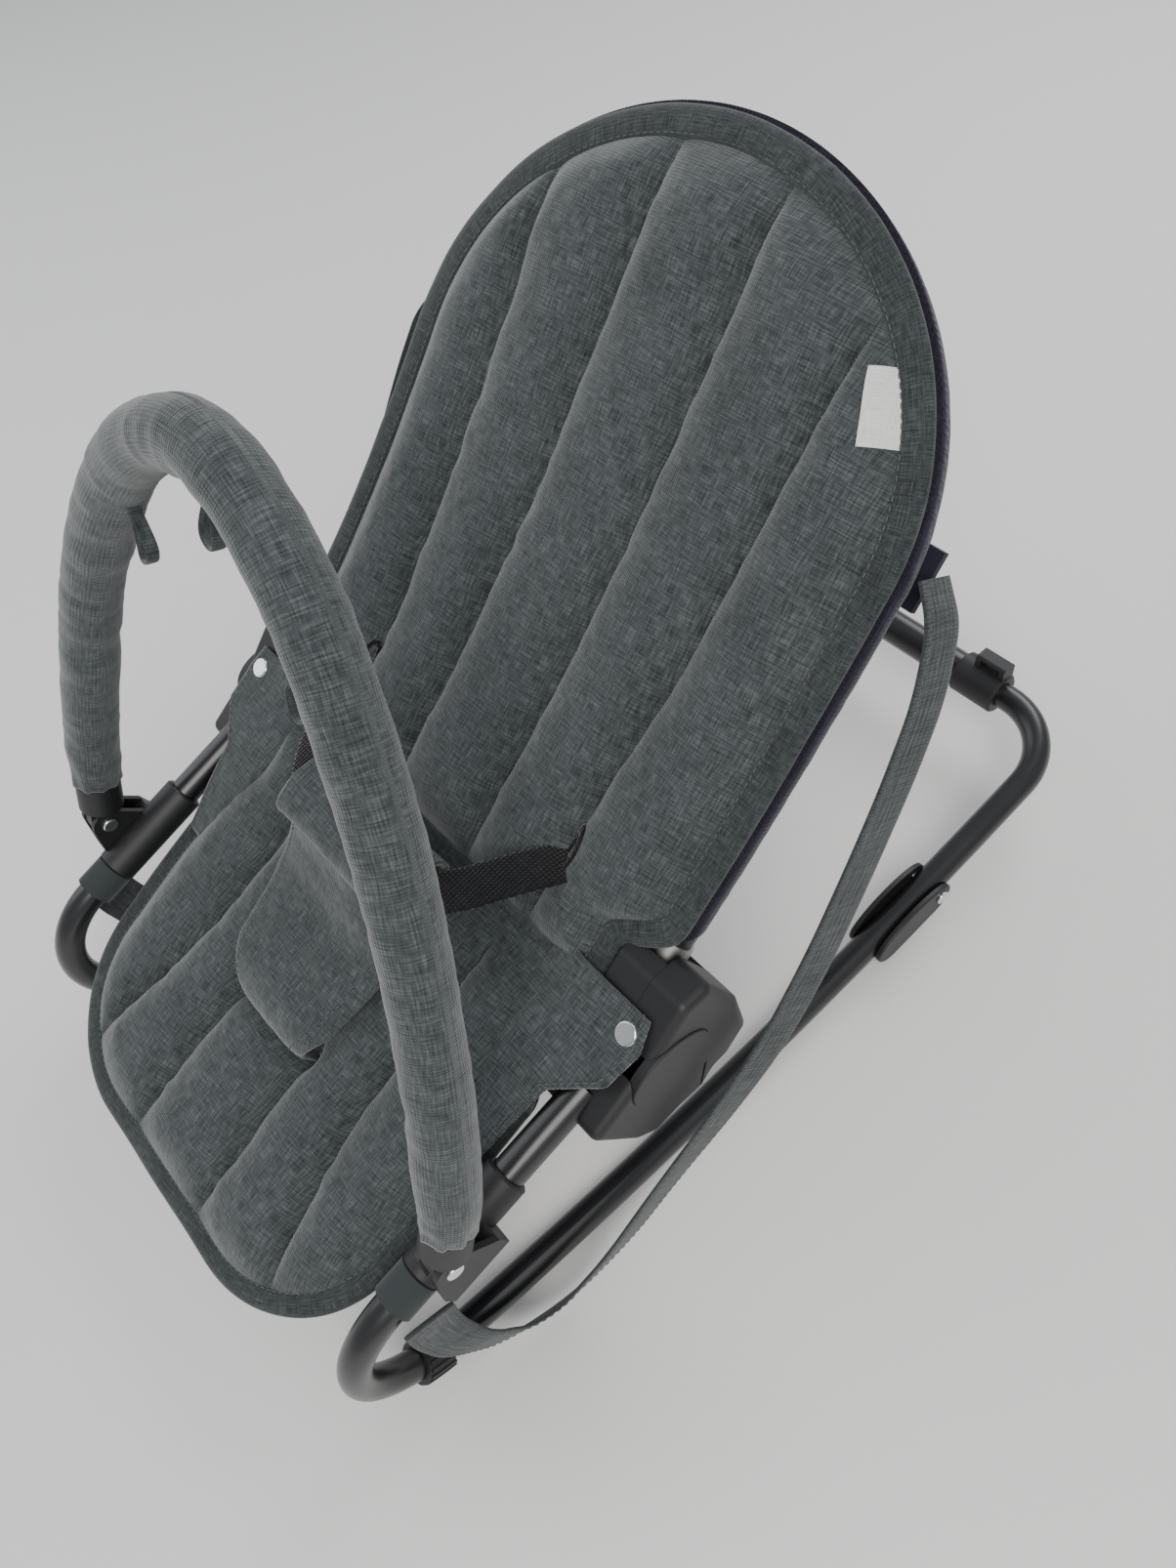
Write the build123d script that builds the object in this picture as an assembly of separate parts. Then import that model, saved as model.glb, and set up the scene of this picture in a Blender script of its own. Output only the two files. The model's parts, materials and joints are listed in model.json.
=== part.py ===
from build123d import *
import os
from math import atan2, cos, degrees, pi, radians, sin, tan

# Bouncer seat, millimetres, +Z up. +Y points from the feet end to the head end, X is across the seat.
# The origin is on the floor, midway between the front bends and the rear crossbar collars.
# Side profiles are drawn in "rocker" coordinates, whose y = 0 is where the rails touch the floor,
# and every part is moved to the origin by PLACE when it is written.

os.makedirs("parts", exist_ok=True)

# ---- driving dimensions -------------------------------------------------------------------
TUBE_D = 19.0            # side tubes and backrest tube
TUBE_WALL = 1.2
RAIL_X = 171.0           # centreline of each side tube from the middle plane
ROCKER_R = 1630.0        # curve of the base rails on the floor
ROCKER_FRONT = -5.0      # degrees of rocker ahead of the contact point
ROCKER_REAR = 13.0       # degrees of rocker behind it
FRONT_BEND_R = 58.0
SEAT_RAIL_TILT = 18.6    # degrees, seat rail rising towards the head end
SEAT_RAIL_L = 146.0
REAR_BEND_R = 48.0
REAR_STUB_L = 24.0
CROSSBAR_D = 25.0
COLLAR_D = 31.0
COLLAR_L = 36.0
GRIP_BEND = 26.0         # degrees round the front bend, from its lowest point
GRIP_D, GRIP_L = 26.8, 18.0
PLACE_Y = -98.1375         # moves the profiles so the whole seat is centred on the origin

HUB_Y, HUB_Z = 20.0, 184.0     # recline axis
HUB_IN, HUB_SPLIT, HUB_OUT = 147.0, 171.0, 195.0
HUB_WALL = 2.5
HUB_SKIN = 1.6           # inner cover's side wall
BOLT_R = 4.0
RECLINE = 28.0           # degrees of backrest travel
RUN_GAP = 0.05           # running clearance, radial
GAP = 0.4                # clearance between pieces that move past each other
RING_R = 15.2            # both toothed rings
FIXED_X, FIXED_T = 171.2, 9.0
MOVING_X = 163.0
GEAR_TEETH, GEAR_R, TOOTH_H, TOOTH_W = 14, 9.4, 1.7, 1.9
GEAR_T = 7.6
PRESS = 6.0              # travel of the release button
BUTTON_A, BUTTON_B = 26.0, 21.5
BUTTON_DROP = 5.0        # centre of the button's oval below the recline axis
SLEEVE_R = 11.0
SCREW_R, SCREW_HEAD_R = 2.0, 3.6
SCREWS = [(59, 147), (-4, 131)]

BACK_TILT = 45.6         # degrees, backrest above the floor plane at rest
BACK_TUBE_X = 160.0
BACK_TUBE_START = 24.5
BACK_CURVE_R = 1220.0
BACK_CHORD = 310.0       # span of the curved part, from the recline axis
BACK_STRAIGHT = 231.0    # along the backrest, from the recline axis to the top bend
PAD_T = 21.0
PAD_HALF_W = 172.0
PAD_TOP_B = 151.0        # height of the rounded top
PAD_STRAIGHT_TOP = 251.0 # where the rounded top begins, from the recline axis
PAD_START = 24.0
NOTCH_X, NOTCH_TOP = 145.0, 78.0   # the pad is narrower beside the hubs
LINER_T = 2.0

SEAT_TILT = 25.0         # degrees, seat falling towards the feet end
SEAT_Y, SEAT_Z = -8.0, 172.0       # rear end of the seat tube
SEAT_SCREW = (-13.0, 169.0)
SEAT_TUBE_D = 14.0
SEAT_TUBE_X = 139.5
SEAT_TUBE_L = 222.0
SEAT_PAD_T = 18.0
SEAT_HALF_W = 151.0
SEAT_REAR_HALF_W = 143.0
SEAT_L = 236.0
SEAT_CORNER_R = 92.0
CROTCH_Y = 108.0         # slot in the seat, from the rear end of the seat tube
SLOT_W, SLOT_L = 72.0, 9.0
CROTCH_W, CROTCH_T = 112.0, 9.0
TUNNEL_Y, TUNNEL_LIFT = -12.0, 60.0   # centre of the belt tunnel in the seat's frame
TUNNEL_A, TUNNEL_B, TUNNEL_W = 22.0, 13.0, 104.0
TUNNEL_WALL = 3.4
BELT_W, BELT_T = 25.0, 2.0
BELT_SLOT_X, BELT_SLOT_Y, BELT_SLOT_Z = 96.0, 35.5, 243.0   # where the belt leaves the backrest
BUCKLE_W, BUCKLE_L, BUCKLE_T = 40.0, 30.0, 8.0

BAR_PIVOT_X, BAR_PIVOT_Y, BAR_PIVOT_Z = 184.0, -122.0, 166.0
BAR_TILT = 70.0          # degrees, plane of the toy bar above the floor plane
BAR_TUBE_D = 12.0
BAR_SLEEVE_D = 31.0
BAR_ROUTE = [(184, 16), (184, 48), (171, 110), (147, 184), (113, 252), (64, 313), (0, 343)]
BAR_LOOPS = [(-71, 267, -40), (0, 311, 0), (71, 267, 40)]   # x, height and tilt of each toy loop
EAR_T, EAR_R, EAR_BASE_L = 3.6, 10.5, 40.0
TONGUE_T, TONGUE_R = 10.0, 9.5
CUP_D, CUP_START, CUP_L = 27.0, 12.0, 20.0
SOCKET_D = 25.0
SOCKET_START, SOCKET_L = 21.0, 66.0
RIVET_R, RIVET_HEAD_R = 3.0, 5.0

FOOT_Y = 243.0
FOOT_L, FOOT_H, FOOT_T = 72.0, 31.0, 3.6
FOOT_PIVOT = 10.0        # rivet, ahead of the rear tip of the foot

FLAP_TILT = 39.0         # degrees, hip flap lying over the top of the hub
FLAP_X, FLAP_W, FLAP_L, FLAP_T = 169.0, 38.0, 38.0, 2.0
STUD_X, STUD_Y, STUD_Z = 176.0, 11.6, 203.0
STUD_R = 6.6
STRAP_D = 8.4            # a round rod of about the webbing's own section area
LOOP_T, LOOP_W = 2.5, 20.2
STRAP_ROUTE = [
    (176, 214, 366),
    (190, 206, 352),
    (199, 190, 322),
    (204, 168, 286),
    (207, 142, 240),
    (210, 112, 192),
    (213, 78, 152),
    (213, 36, 118),
    (210, -4, 84),
    (207, -44, 44),
    (203, -84, 20),
    (199, -118, 28),
    (193, -142, 60),
    (188, -148, 96),
    (188, -147, 122),
]
BEND_KEEP = 0.45         # share of the shorter run that a bend takes

PLACE = Pos(0, PLACE_Y, 0)
RAIL_R = TUBE_D / 2


# ---- helpers --------------------------------------------------------------------------------
def side_plane(x):
    """Plane square to X: its own x is +Y and its own y is +Z."""
    return Plane(origin=(x, 0, 0), x_dir=(0, 1, 0), z_dir=(1, 0, 0))


def slab_x(sketch, x0, x1):
    return extrude(side_plane(x0) * sketch, amount=x1 - x0)


def rod_x(y, z, r, x0, x1):
    return slab_x(Pos(y, z) * Circle(r), x0, x1)


def turned(y, z, angle_deg, length):
    """The point at a length and an angle from (y, z), in the side view."""
    a = radians(angle_deg)
    return y + length * cos(a), z + length * sin(a)


def tube(path, d, wall):
    ring = Plane(origin=path @ 0, z_dir=path % 0) * (Circle(d / 2) - Circle(d / 2 - wall))
    return sweep(ring, path)


def bar(path, d):
    return sweep(Plane(origin=path @ 0, z_dir=path % 0) * Circle(d / 2), path)


def bend_radii(points):
    """Largest bend at each corner of a route that leaves room for its neighbours."""
    radii = []
    for a, b, c in zip(points, points[1:], points[2:]):
        turn = radians((b - a).get_angle(c - b))
        shorter = min((b - a).length, (c - b).length)
        radii.append(BEND_KEEP * shorter / tan(turn / 2))
    return radii


def domed_head(y, z, r, x, height):
    """Rivet head standing on the plane at x, facing away from the middle."""
    head = rod_x(y, z, r, x, x + height)
    return fillet(head.faces().sort_by(Axis.X)[-1].edges(), 0.7 * height)


def left(shape):
    return mirror(shape, about=Plane.YZ)


def write(name, shape):
    shape = PLACE * shape
    export_step(shape, f"parts/{name}.step")


def write_pair(name, shape):
    write(f"right_{name}", shape)
    write(f"left_{name}", left(shape))


def write_both(name, shape):
    write(name, Compound([*shape.solids(), *left(shape).solids()]))


# ---- side tubes, crossbar and collars ---------------------------------------------------------
def rocker_height(y):
    """Height of the base rail's centreline at y."""
    return RAIL_R + ROCKER_R * (1 - cos(atan2(y, ROCKER_R)))


def rocker_at(angle_deg):
    a = radians(angle_deg)
    return ROCKER_R * sin(a), RAIL_R + ROCKER_R * (1 - cos(a))


REAR_Y, REAR_Z = rocker_at(ROCKER_REAR)
FRONT_Y, FRONT_Z = rocker_at(ROCKER_FRONT)
BEND_Y, BEND_Z = turned(FRONT_Y, FRONT_Z, 90 + ROCKER_FRONT, FRONT_BEND_R)
RAIL_Y0, RAIL_Z0 = turned(BEND_Y, BEND_Z, 90 + SEAT_RAIL_TILT, FRONT_BEND_R)
RAIL_Y1, RAIL_Z1 = turned(RAIL_Y0, RAIL_Z0, SEAT_RAIL_TILT, SEAT_RAIL_L)
BAR_Y, BAR_Z = turned(REAR_Y, REAR_Z, ROCKER_REAR, REAR_BEND_R)
STUB_X = RAIL_X - REAR_BEND_R


def side_tube_path():
    x = RAIL_X
    mid = radians(45)
    my, mz = turned(REAR_Y, REAR_Z, ROCKER_REAR, REAR_BEND_R * sin(mid))
    top_y, top_z = turned(BEND_Y, BEND_Z, 180, FRONT_BEND_R)
    low_y, low_z = rocker_at((ROCKER_REAR + ROCKER_FRONT) / 2)
    stub = Line((STUB_X - REAR_STUB_L, BAR_Y, BAR_Z), (STUB_X, BAR_Y, BAR_Z))
    rear = ThreePointArc(
        (STUB_X, BAR_Y, BAR_Z),
        (x - REAR_BEND_R * (1 - cos(mid)), my, mz),
        (x, REAR_Y, REAR_Z),
    )
    rocker = ThreePointArc((x, REAR_Y, REAR_Z), (x, low_y, low_z), (x, FRONT_Y, FRONT_Z))
    front = ThreePointArc((x, FRONT_Y, FRONT_Z), (x, top_y, top_z), (x, RAIL_Y0, RAIL_Z0))
    rail = Line((x, RAIL_Y0, RAIL_Z0), (x, RAIL_Y1, RAIL_Z1))
    return Wire([*stub.edges(), *rear.edges(), *rocker.edges(), *front.edges(), *rail.edges()])


def side_tube():
    body = tube(side_tube_path(), TUBE_D, TUBE_WALL)
    return body - rod_x(*foot_pivot(), RIVET_R, RAIL_X - TUBE_D, RAIL_X + TUBE_D)


def crossbar():
    """Thicker straight tube between the two collars."""
    half = STUB_X - REAR_STUB_L
    ring = side_plane(-half + GAP) * Pos(BAR_Y, BAR_Z) * (
        Circle(CROSSBAR_D / 2) - Circle(CROSSBAR_D / 2 - TUBE_WALL)
    )
    return extrude(ring, amount=2 * (half - GAP))


def crossbar_collar():
    """Moulded sleeve joining crossbar and side tube, with an open tab standing up behind it."""
    step = STUB_X - REAR_STUB_L
    x0 = step - COLLAR_L / 2
    x1 = step + COLLAR_L / 2
    body = slab_x(Pos(BAR_Y, BAR_Z) * Circle(COLLAR_D / 2), x0, x1)
    body = chamfer(body.edges().filter_by(GeomType.CIRCLE), 1.5)
    tab_z = BAR_Z + COLLAR_D / 2 + 2
    tab_x = step + 5
    body += slab_x(Pos(BAR_Y + 4, tab_z) * RectangleRounded(13, 15, 3), tab_x - 12, tab_x + 12)
    body -= Pos(tab_x, BAR_Y + 4, tab_z + 2.5) * Box(16, 40, 6)
    body -= rod_x(BAR_Y, BAR_Z, CROSSBAR_D / 2, x0, step)
    return body - rod_x(BAR_Y, BAR_Z, RAIL_R, step, x1)


def rib_ring(radius, ribs, depth):
    """Outline of a collar with lengthwise ribs."""
    outline = Circle(radius)
    for i in range(ribs):
        cut = Pos(radius + 0.2, 0) * RectangleRounded(2 * depth, 2.4, 0.8)
        outline -= Rot(0, 0, i * 360 / ribs) * cut
    return outline


def round_bend(outline, start, span):
    """Turn an outline round the front bend, from an angle past its lowest point."""
    section = Plane.XZ * Pos(0, -FRONT_BEND_R) * outline
    turned_ring = revolve(section, Axis.X, revolution_arc=span)
    return Pos(RAIL_X, BEND_Y, BEND_Z) * Rot(-start - span, 0, 0) * turned_ring


def grip_collar():
    """Ribbed collar round the start of the front bend, with a plain lip at its front."""
    span = degrees(GRIP_L / FRONT_BEND_R)
    lip = degrees(1.6 / FRONT_BEND_R)
    bore = Circle(RAIL_R + RUN_GAP)
    ring = round_bend(rib_ring(GRIP_D / 2, 18, 1.3) - bore, GRIP_BEND - span / 2, span)
    return ring + round_bend(Circle(GRIP_D / 2 - 0.8) - bore, GRIP_BEND + span / 2, lip)


# ---- flip feet ------------------------------------------------------------------------------
def foot_pivot():
    y = FOOT_Y + FOOT_L / 2 - FOOT_PIVOT
    return y, rocker_height(y)


def flip_foot():
    """Two leaf-shaped cheeks astride the rail, joined under it at the free end."""
    lower = SlotOverall(FOOT_L, FOOT_H) - Pos(0, FOOT_H / 2) * Rectangle(FOOT_L, FOOT_H)
    leaf = lower + Ellipse(FOOT_L / 2, FOOT_H / 2)
    inner = RAIL_R + GAP
    cheek = slab_x(leaf, inner, inner + FOOT_T)
    cheek = fillet(cheek.faces().sort_by(Axis.X)[-1].edges(), 1.2)
    web = Pos(0, 16 - FOOT_L / 2, 2.2 - FOOT_H / 2) * Box(2 * inner + 2, 22, 3.4)
    slope = degrees(atan2(FOOT_Y, ROCKER_R))
    at = Pos(RAIL_X, FOOT_Y, rocker_height(FOOT_Y)) * Rot(slope, 0, 0)
    foot = at * (cheek + left(cheek) + web)
    return foot - rod_x(*foot_pivot(), RIVET_R + RUN_GAP, RAIL_X - 2 * TUBE_D, RAIL_X + 2 * TUBE_D)


def foot_rivet():
    """Rivet through the rail, with a domed head outside each cheek."""
    y, z = foot_pivot()
    half = RAIL_R + GAP + FOOT_T + 0.3
    head = domed_head(y, z, RIVET_HEAD_R, half, 1.8)
    return Pos(RAIL_X, 0, 0) * (rod_x(y, z, RIVET_R, -half, half) + head + left(head))


# ---- toy bar ----------------------------------------------------------------------------------
def on_seat_rail(shape, distance):
    """Place a shape drawn along +Y at the origin on the seat rail, a distance from its lower end."""
    y, z = turned(RAIL_Y0, RAIL_Z0, SEAT_RAIL_TILT, distance)
    return Pos(RAIL_X, y, z) * Rot(SEAT_RAIL_TILT, 0, 0) * shape


def ear_base():
    """Foot of the socket's ears, in the side view."""
    y, z = turned(RAIL_Y0, RAIL_Z0, SEAT_RAIL_TILT, SOCKET_START + 23)
    return Pos(y, z) * Rot(0, 0, SEAT_RAIL_TILT) * Rectangle(EAR_BASE_L, 12)


def ear(x0):
    """One ear of the socket, from the sleeve up to the toy bar's pivot."""
    tip = Pos(BAR_PIVOT_Y, BAR_PIVOT_Z) * Circle(EAR_R)
    return slab_x(make_hull([*ear_base().edges(), *tip.edges()]), x0, x0 + EAR_T)


def bar_socket():
    """Sleeve on the seat rail with two ears that hold the toy bar's plug."""
    sleeve = Rot(-90, 0, 0) * extrude(Circle(SOCKET_D / 2), amount=SOCKET_L)
    sleeve = chamfer(sleeve.edges().filter_by(GeomType.CIRCLE), 1.2)
    inner = BAR_PIVOT_X - TONGUE_T / 2 - GAP - EAR_T
    outer = BAR_PIVOT_X + TONGUE_T / 2 + GAP
    body = on_seat_rail(sleeve, SOCKET_START) + ear(inner) + ear(outer)
    body += slab_x(ear_base(), RAIL_X, outer + EAR_T)
    bore = Rot(-90, 0, 0) * extrude(Circle(RAIL_R), amount=SOCKET_L + 40)
    body -= on_seat_rail(bore, SOCKET_START - 20)
    return body - rod_x(BAR_PIVOT_Y, BAR_PIVOT_Z, RIVET_R, inner - 5, outer + 10)


def bar_rivet():
    half = TONGUE_T / 2 + GAP + EAR_T
    rivet = rod_x(BAR_PIVOT_Y, BAR_PIVOT_Z, RIVET_R, -half, half)
    head = domed_head(BAR_PIVOT_Y, BAR_PIVOT_Z, RIVET_HEAD_R, half, 1.8)
    return Pos(BAR_PIVOT_X, 0, 0) * (rivet + head + left(head))


def bar_plane():
    """The toy bar's own plane: its own x is across the seat, its own y runs up from the pivots."""
    a = radians(BAR_TILT)
    return Plane(
        origin=(0, BAR_PIVOT_Y, BAR_PIVOT_Z),
        x_dir=(1, 0, 0),
        z_dir=(0, -sin(a), cos(a)),
    )


def bar_path():
    """Arch of the toy bar, as straight runs joined by bends."""
    route = BAR_ROUTE + [(-x, y) for x, y in reversed(BAR_ROUTE[:-1])]
    points = [bar_plane().from_local_coords(Vector(x, y, 0)) for x, y in route]
    return FilletPolyline(*points, radius=bend_radii(points))


def bar_sleeve():
    """Padded sleeve on the toy bar, between the two plugs."""
    path = bar_path()
    section = Circle(BAR_SLEEVE_D / 2) - Circle(BAR_TUBE_D / 2 + 0.1)
    sleeve = sweep(Plane(origin=path @ 0, z_dir=path % 0) * section, path)
    ends = Pos(0, 0, 0) * Box(3 * BAR_PIVOT_X, 2 * (CUP_START + CUP_L + 0.3), 2 * BAR_SLEEVE_D)
    return sleeve - bar_plane() * ends


def bar_plug():
    """Plastic end of the toy bar: a cup for the tube over a flat tongue for the rivet."""
    at = bar_plane() * Pos(BAR_PIVOT_X, CUP_START) * Rot(-90, 0, 0)
    cup = at * extrude(Circle(CUP_D / 2), amount=CUP_L)
    cup -= at * Pos(0, 0, BAR_ROUTE[0][1] - CUP_START) * extrude(Circle(BAR_TUBE_D / 2), amount=CUP_L)
    profile = Circle(TONGUE_R) + Pos(CUP_START / 2, 0) * Rectangle(CUP_START, 2 * TONGUE_R)
    profile = Pos(BAR_PIVOT_Y, BAR_PIVOT_Z) * Rot(0, 0, BAR_TILT) * profile
    tongue = slab_x(profile, BAR_PIVOT_X - TONGUE_T / 2, BAR_PIVOT_X + TONGUE_T / 2)
    return cup + tongue - rod_x(BAR_PIVOT_Y, BAR_PIVOT_Z, RIVET_R + RUN_GAP, 0, 2 * BAR_PIVOT_X)


def toy_loop(x, height, tilt):
    """Fabric loop under the toy bar's sleeve for hanging a toy."""
    ring = SlotOverall(30, 12) - SlotOverall(26, 8)
    loop = Pos(0, -15.3) * Rot(0, 0, 90) * ring
    return bar_plane() * Pos(x, height) * Rot(0, 0, tilt) * extrude(loop, amount=2.2, both=True)


# ---- recline hubs -----------------------------------------------------------------------------
def hub_outline(inset=0.0):
    """Side view of a hub casing: long lower edge for the fingers, tall rear corner."""
    points = [
        (-34, 170),
        (-21, 146),
        (-10, 126),
        (3, 114),
        (22, 118),
        (40, 118),
        (49, 129),
        (60, 131),
        (75, 147),
        (70, 182),
        (52, 224),
        (34, 223),
        (6, 196),
    ]
    face = make_face(Polyline(*points, close=True))
    face = fillet(face.vertices(), 6)
    return offset(face, -inset) if inset else face


def gear_outline(gap=0.0):
    """Straight-sided teeth round a circle; a gap makes the same outline larger, for a bore."""
    outline = Circle(GEAR_R + gap)
    for i in range(GEAR_TEETH):
        tooth = Pos(GEAR_R + TOOTH_H / 2, 0) * Rectangle(TOOTH_H + 2 * gap + 1, TOOTH_W + 2 * gap)
        outline += Rot(0, 0, i * 360 / GEAR_TEETH) * tooth
    return outline


def on_axis(sketch, x0, x1):
    """Slab of a sketch centred on the recline axis."""
    return slab_x(Pos(HUB_Y, HUB_Z) * sketch, x0, x1)


def rail_bore():
    y, z = turned(RAIL_Y1, RAIL_Z1, SEAT_RAIL_TILT, GAP)
    bore = Rot(90, 0, 0) * extrude(Circle(RAIL_R + 0.1), amount=80)
    return Pos(RAIL_X, y, z) * Rot(SEAT_RAIL_TILT, 0, 0) * bore


def screw_holes():
    holes = [rod_x(y, z, SCREW_R, HUB_IN - 5, HUB_OUT - 6) for y, z in SCREWS]
    heads = [rod_x(y, z, SCREW_HEAD_R, HUB_IN - 5, HUB_IN + HUB_SKIN) for y, z in SCREWS]
    return holes + heads


def hub_outer_cover():
    """Outer half of the casing, domed, with an oval well for the button and a parting notch."""
    cover = slab_x(hub_outline(), HUB_SPLIT, HUB_OUT)
    cover = fillet(cover.faces().sort_by(Axis.X)[-1].edges(), 5.5)
    cover -= slab_x(hub_outline(HUB_WALL), HUB_SPLIT - 1, HUB_OUT - HUB_WALL - 3)
    well = Pos(0, -BUTTON_DROP) * Ellipse(BUTTON_A + GAP, BUTTON_B + GAP)
    cover -= on_axis(well, HUB_SPLIT, HUB_OUT + 5)
    notch = Pos(39, 130) * Rot(0, 0, -12) * Rectangle(1.6, 34)
    cover -= slab_x(notch, HUB_OUT - 4, HUB_OUT + 5)
    bosses = [rod_x(y, z, SCREW_R + 2, HUB_SPLIT, HUB_OUT - 5) for y, z in SCREWS]
    cover = cover + [b & slab_x(hub_outline(), HUB_SPLIT, HUB_OUT) for b in bosses]
    return cover - screw_holes() - rail_bore()


def recline_slot():
    """Room for the backrest tube to leave the inner cover and swing through its travel."""
    circle = Circle(SLEEVE_R + 1.6)
    along = NOTCH_TOP
    droop = degrees(atan2(back_bow(along), along))
    circles = [Pos(HUB_Y, HUB_Z) * circle]
    for angle in (BACK_TILT + droop + 2, BACK_TILT + droop - RECLINE - 2):
        y, z = turned(HUB_Y, HUB_Z, angle, along)
        circles.append(Pos(y, z) * circle)
    return make_hull([e for c in circles for e in c.edges()])


def hub_inner_cover():
    """Inner half of the casing, open at the top rear for the backrest tube."""
    cover = slab_x(hub_outline(), HUB_IN, HUB_SPLIT - 0.2)
    cover = chamfer(cover.faces().sort_by(Axis.X)[0].edges(), 1.0)
    cover -= slab_x(hub_outline(HUB_WALL), HUB_IN + HUB_SKIN, HUB_SPLIT + 1)
    bosses = [rod_x(y, z, SCREW_HEAD_R + 1.4, HUB_IN, HUB_SPLIT - 0.2) for y, z in SCREWS]
    cover = cover + [b & slab_x(hub_outline(), HUB_IN, HUB_SPLIT - 0.2) for b in bosses]
    cover -= slab_x(recline_slot(), HUB_IN + HUB_SKIN, HUB_SPLIT + 1)
    cover -= on_axis(Circle(BOLT_R), HUB_IN - 5, HUB_IN + 5)
    cover -= rod_x(*SEAT_SCREW, SCREW_R, HUB_IN - 5, HUB_IN + 5)
    return cover - screw_holes() - rail_bore()


def hub_screws():
    """The two screws that close one hub, driven from inside."""
    screws = []
    for y, z in SCREWS:
        shank = rod_x(y, z, SCREW_R, HUB_IN, HUB_OUT - 7)
        screws.append(shank + rod_x(y, z, SCREW_HEAD_R - 0.1, HUB_IN, HUB_IN + HUB_SKIN - 0.1))
    return Compound([s for screw in screws for s in screw.solids()])


def fixed_ring():
    """Steel ring in the outer cover; its bore's teeth hold the lock gear."""
    return on_axis(Circle(RING_R) - gear_outline(0.3), FIXED_X, FIXED_X + FIXED_T)


def back_edge(y0, y1):
    """Centreline of the backrest tube between two distances from the recline axis."""
    mid = (y0 + y1) / 2
    return ThreePointArc(*[Vector(BACK_TUBE_X, y, back_bow(y)) for y in (y0, mid, y1)])


def moving_ring():
    """Steel ring that turns with the backrest, with a welded sleeve for the backrest tube."""
    sleeve = back_frame().location * bar(back_edge(13, 52), 2 * SLEEVE_R)
    sleeve &= slab_x(Rectangle(900, 900), HUB_IN, HUB_SPLIT - 0.3)
    ring = on_axis(Circle(RING_R), MOVING_X, HUB_SPLIT - 0.3) + sleeve
    ring -= back_frame().location * bar(back_edge(BACK_TUBE_START - 0.5, 60), TUBE_D + 0.1)
    ring -= on_axis(gear_outline(0.3), HUB_IN, HUB_SPLIT)
    return ring - on_axis(Circle(GEAR_R + TOOTH_H + 0.4), MOVING_X + 2, HUB_SPLIT)


def lock_gear():
    """Toothed gear that slides along the pivot bolt."""
    gear = gear_outline() - Circle(BOLT_R + RUN_GAP)
    return on_axis(gear, FIXED_X + 0.2, FIXED_X + 0.2 + GEAR_T)


def release_button():
    """Oval button, crowned, with a tubular post that pushes the lock gear inwards."""
    oval = Pos(0, -BUTTON_DROP) * Ellipse(BUTTON_A, BUTTON_B)
    cap = on_axis(oval, HUB_OUT - 5, HUB_OUT + 1.2)
    cap = fillet(cap.faces().sort_by(Axis.X)[-1].edges(), 1.0)
    post = Circle(GEAR_R) - Circle(GEAR_R - 2.2)
    return cap + on_axis(post, FIXED_X + 0.2 + GEAR_T, HUB_OUT - 5)


def pivot_bolt():
    """Bolt that the lock gear slides on, with its head inside and a lock nut outside."""
    end = FIXED_X + FIXED_T + 2.8
    bolt = on_axis(Circle(BOLT_R), HUB_IN - 3, end)
    head = on_axis(RegularPolygon(6.5, 6), HUB_IN - 5, HUB_IN)
    return bolt + head + on_axis(Circle(BOLT_R + 2), end - 2.6, end)


def release_spring():
    """Return spring between the inner cover and the lock gear."""
    wire = 1.1
    seat = HUB_IN + HUB_SKIN + 0.1
    height = FIXED_X - seat - wire
    path = Helix(pitch=height / 4, height=height, radius=6.4)
    coil = sweep(Plane(origin=path @ 0, z_dir=path % 0) * Circle(wire / 2), path, is_frenet=True)
    return Pos(seat + wire / 2, HUB_Y, HUB_Z) * Rot(0, 90, 0) * coil


# ---- seat ---------------------------------------------------------------------------------------
def seat_plane(lift=0.0):
    """Plane of the seat tube: its own x is across the seat, its own y runs to the feet end."""
    a = radians(SEAT_TILT)
    up = Vector(0, -sin(a), cos(a))
    return Plane(
        origin=Vector(0, SEAT_Y, SEAT_Z) + up * lift,
        x_dir=(-1, 0, 0),
        z_dir=tuple(up),
    )


def seat_tube():
    """U-shaped tube inside the seat's front pocket, screwed to the inner covers."""
    x, far, r = SEAT_TUBE_X, SEAT_TUBE_L, SEAT_CORNER_R - 12
    points = [(x, 0), (x, far), (-x, far), (-x, 0)]
    path = FilletPolyline(*[seat_plane().from_local_coords(Vector(*p, 0)) for p in points], radius=r)
    body = tube(path, SEAT_TUBE_D, TUBE_WALL)
    for side in (-1, 1):
        body -= rod_x(*SEAT_SCREW, SCREW_R, side * SEAT_TUBE_X - 20, side * SEAT_TUBE_X + 20)
    return body


def seat_screw():
    inner = SEAT_TUBE_X - SEAT_TUBE_D / 2 - 1
    shank = rod_x(*SEAT_SCREW, SCREW_R, inner, HUB_IN + 5)
    return shank + rod_x(*SEAT_SCREW, SCREW_HEAD_R, inner - 2, inner)


def seat_outline(inset, rear):
    """Plan of the seat: straight sides, rounded front corners, narrower between the hubs."""
    half = SEAT_HALF_W - inset
    front = Pos(0, (SEAT_L - inset + 40) / 2) * Rectangle(2 * half, SEAT_L - inset - 40)
    front = fillet(front.vertices().sort_by(Axis.Y)[-2:], SEAT_CORNER_R)
    neck = Pos(0, (rear + 44) / 2) * Rectangle(2 * (SEAT_REAR_HALF_W - inset), 44 - rear)
    return front + neck - Pos(0, CROTCH_Y) * Rectangle(SLOT_W + 4, SLOT_L)


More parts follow.
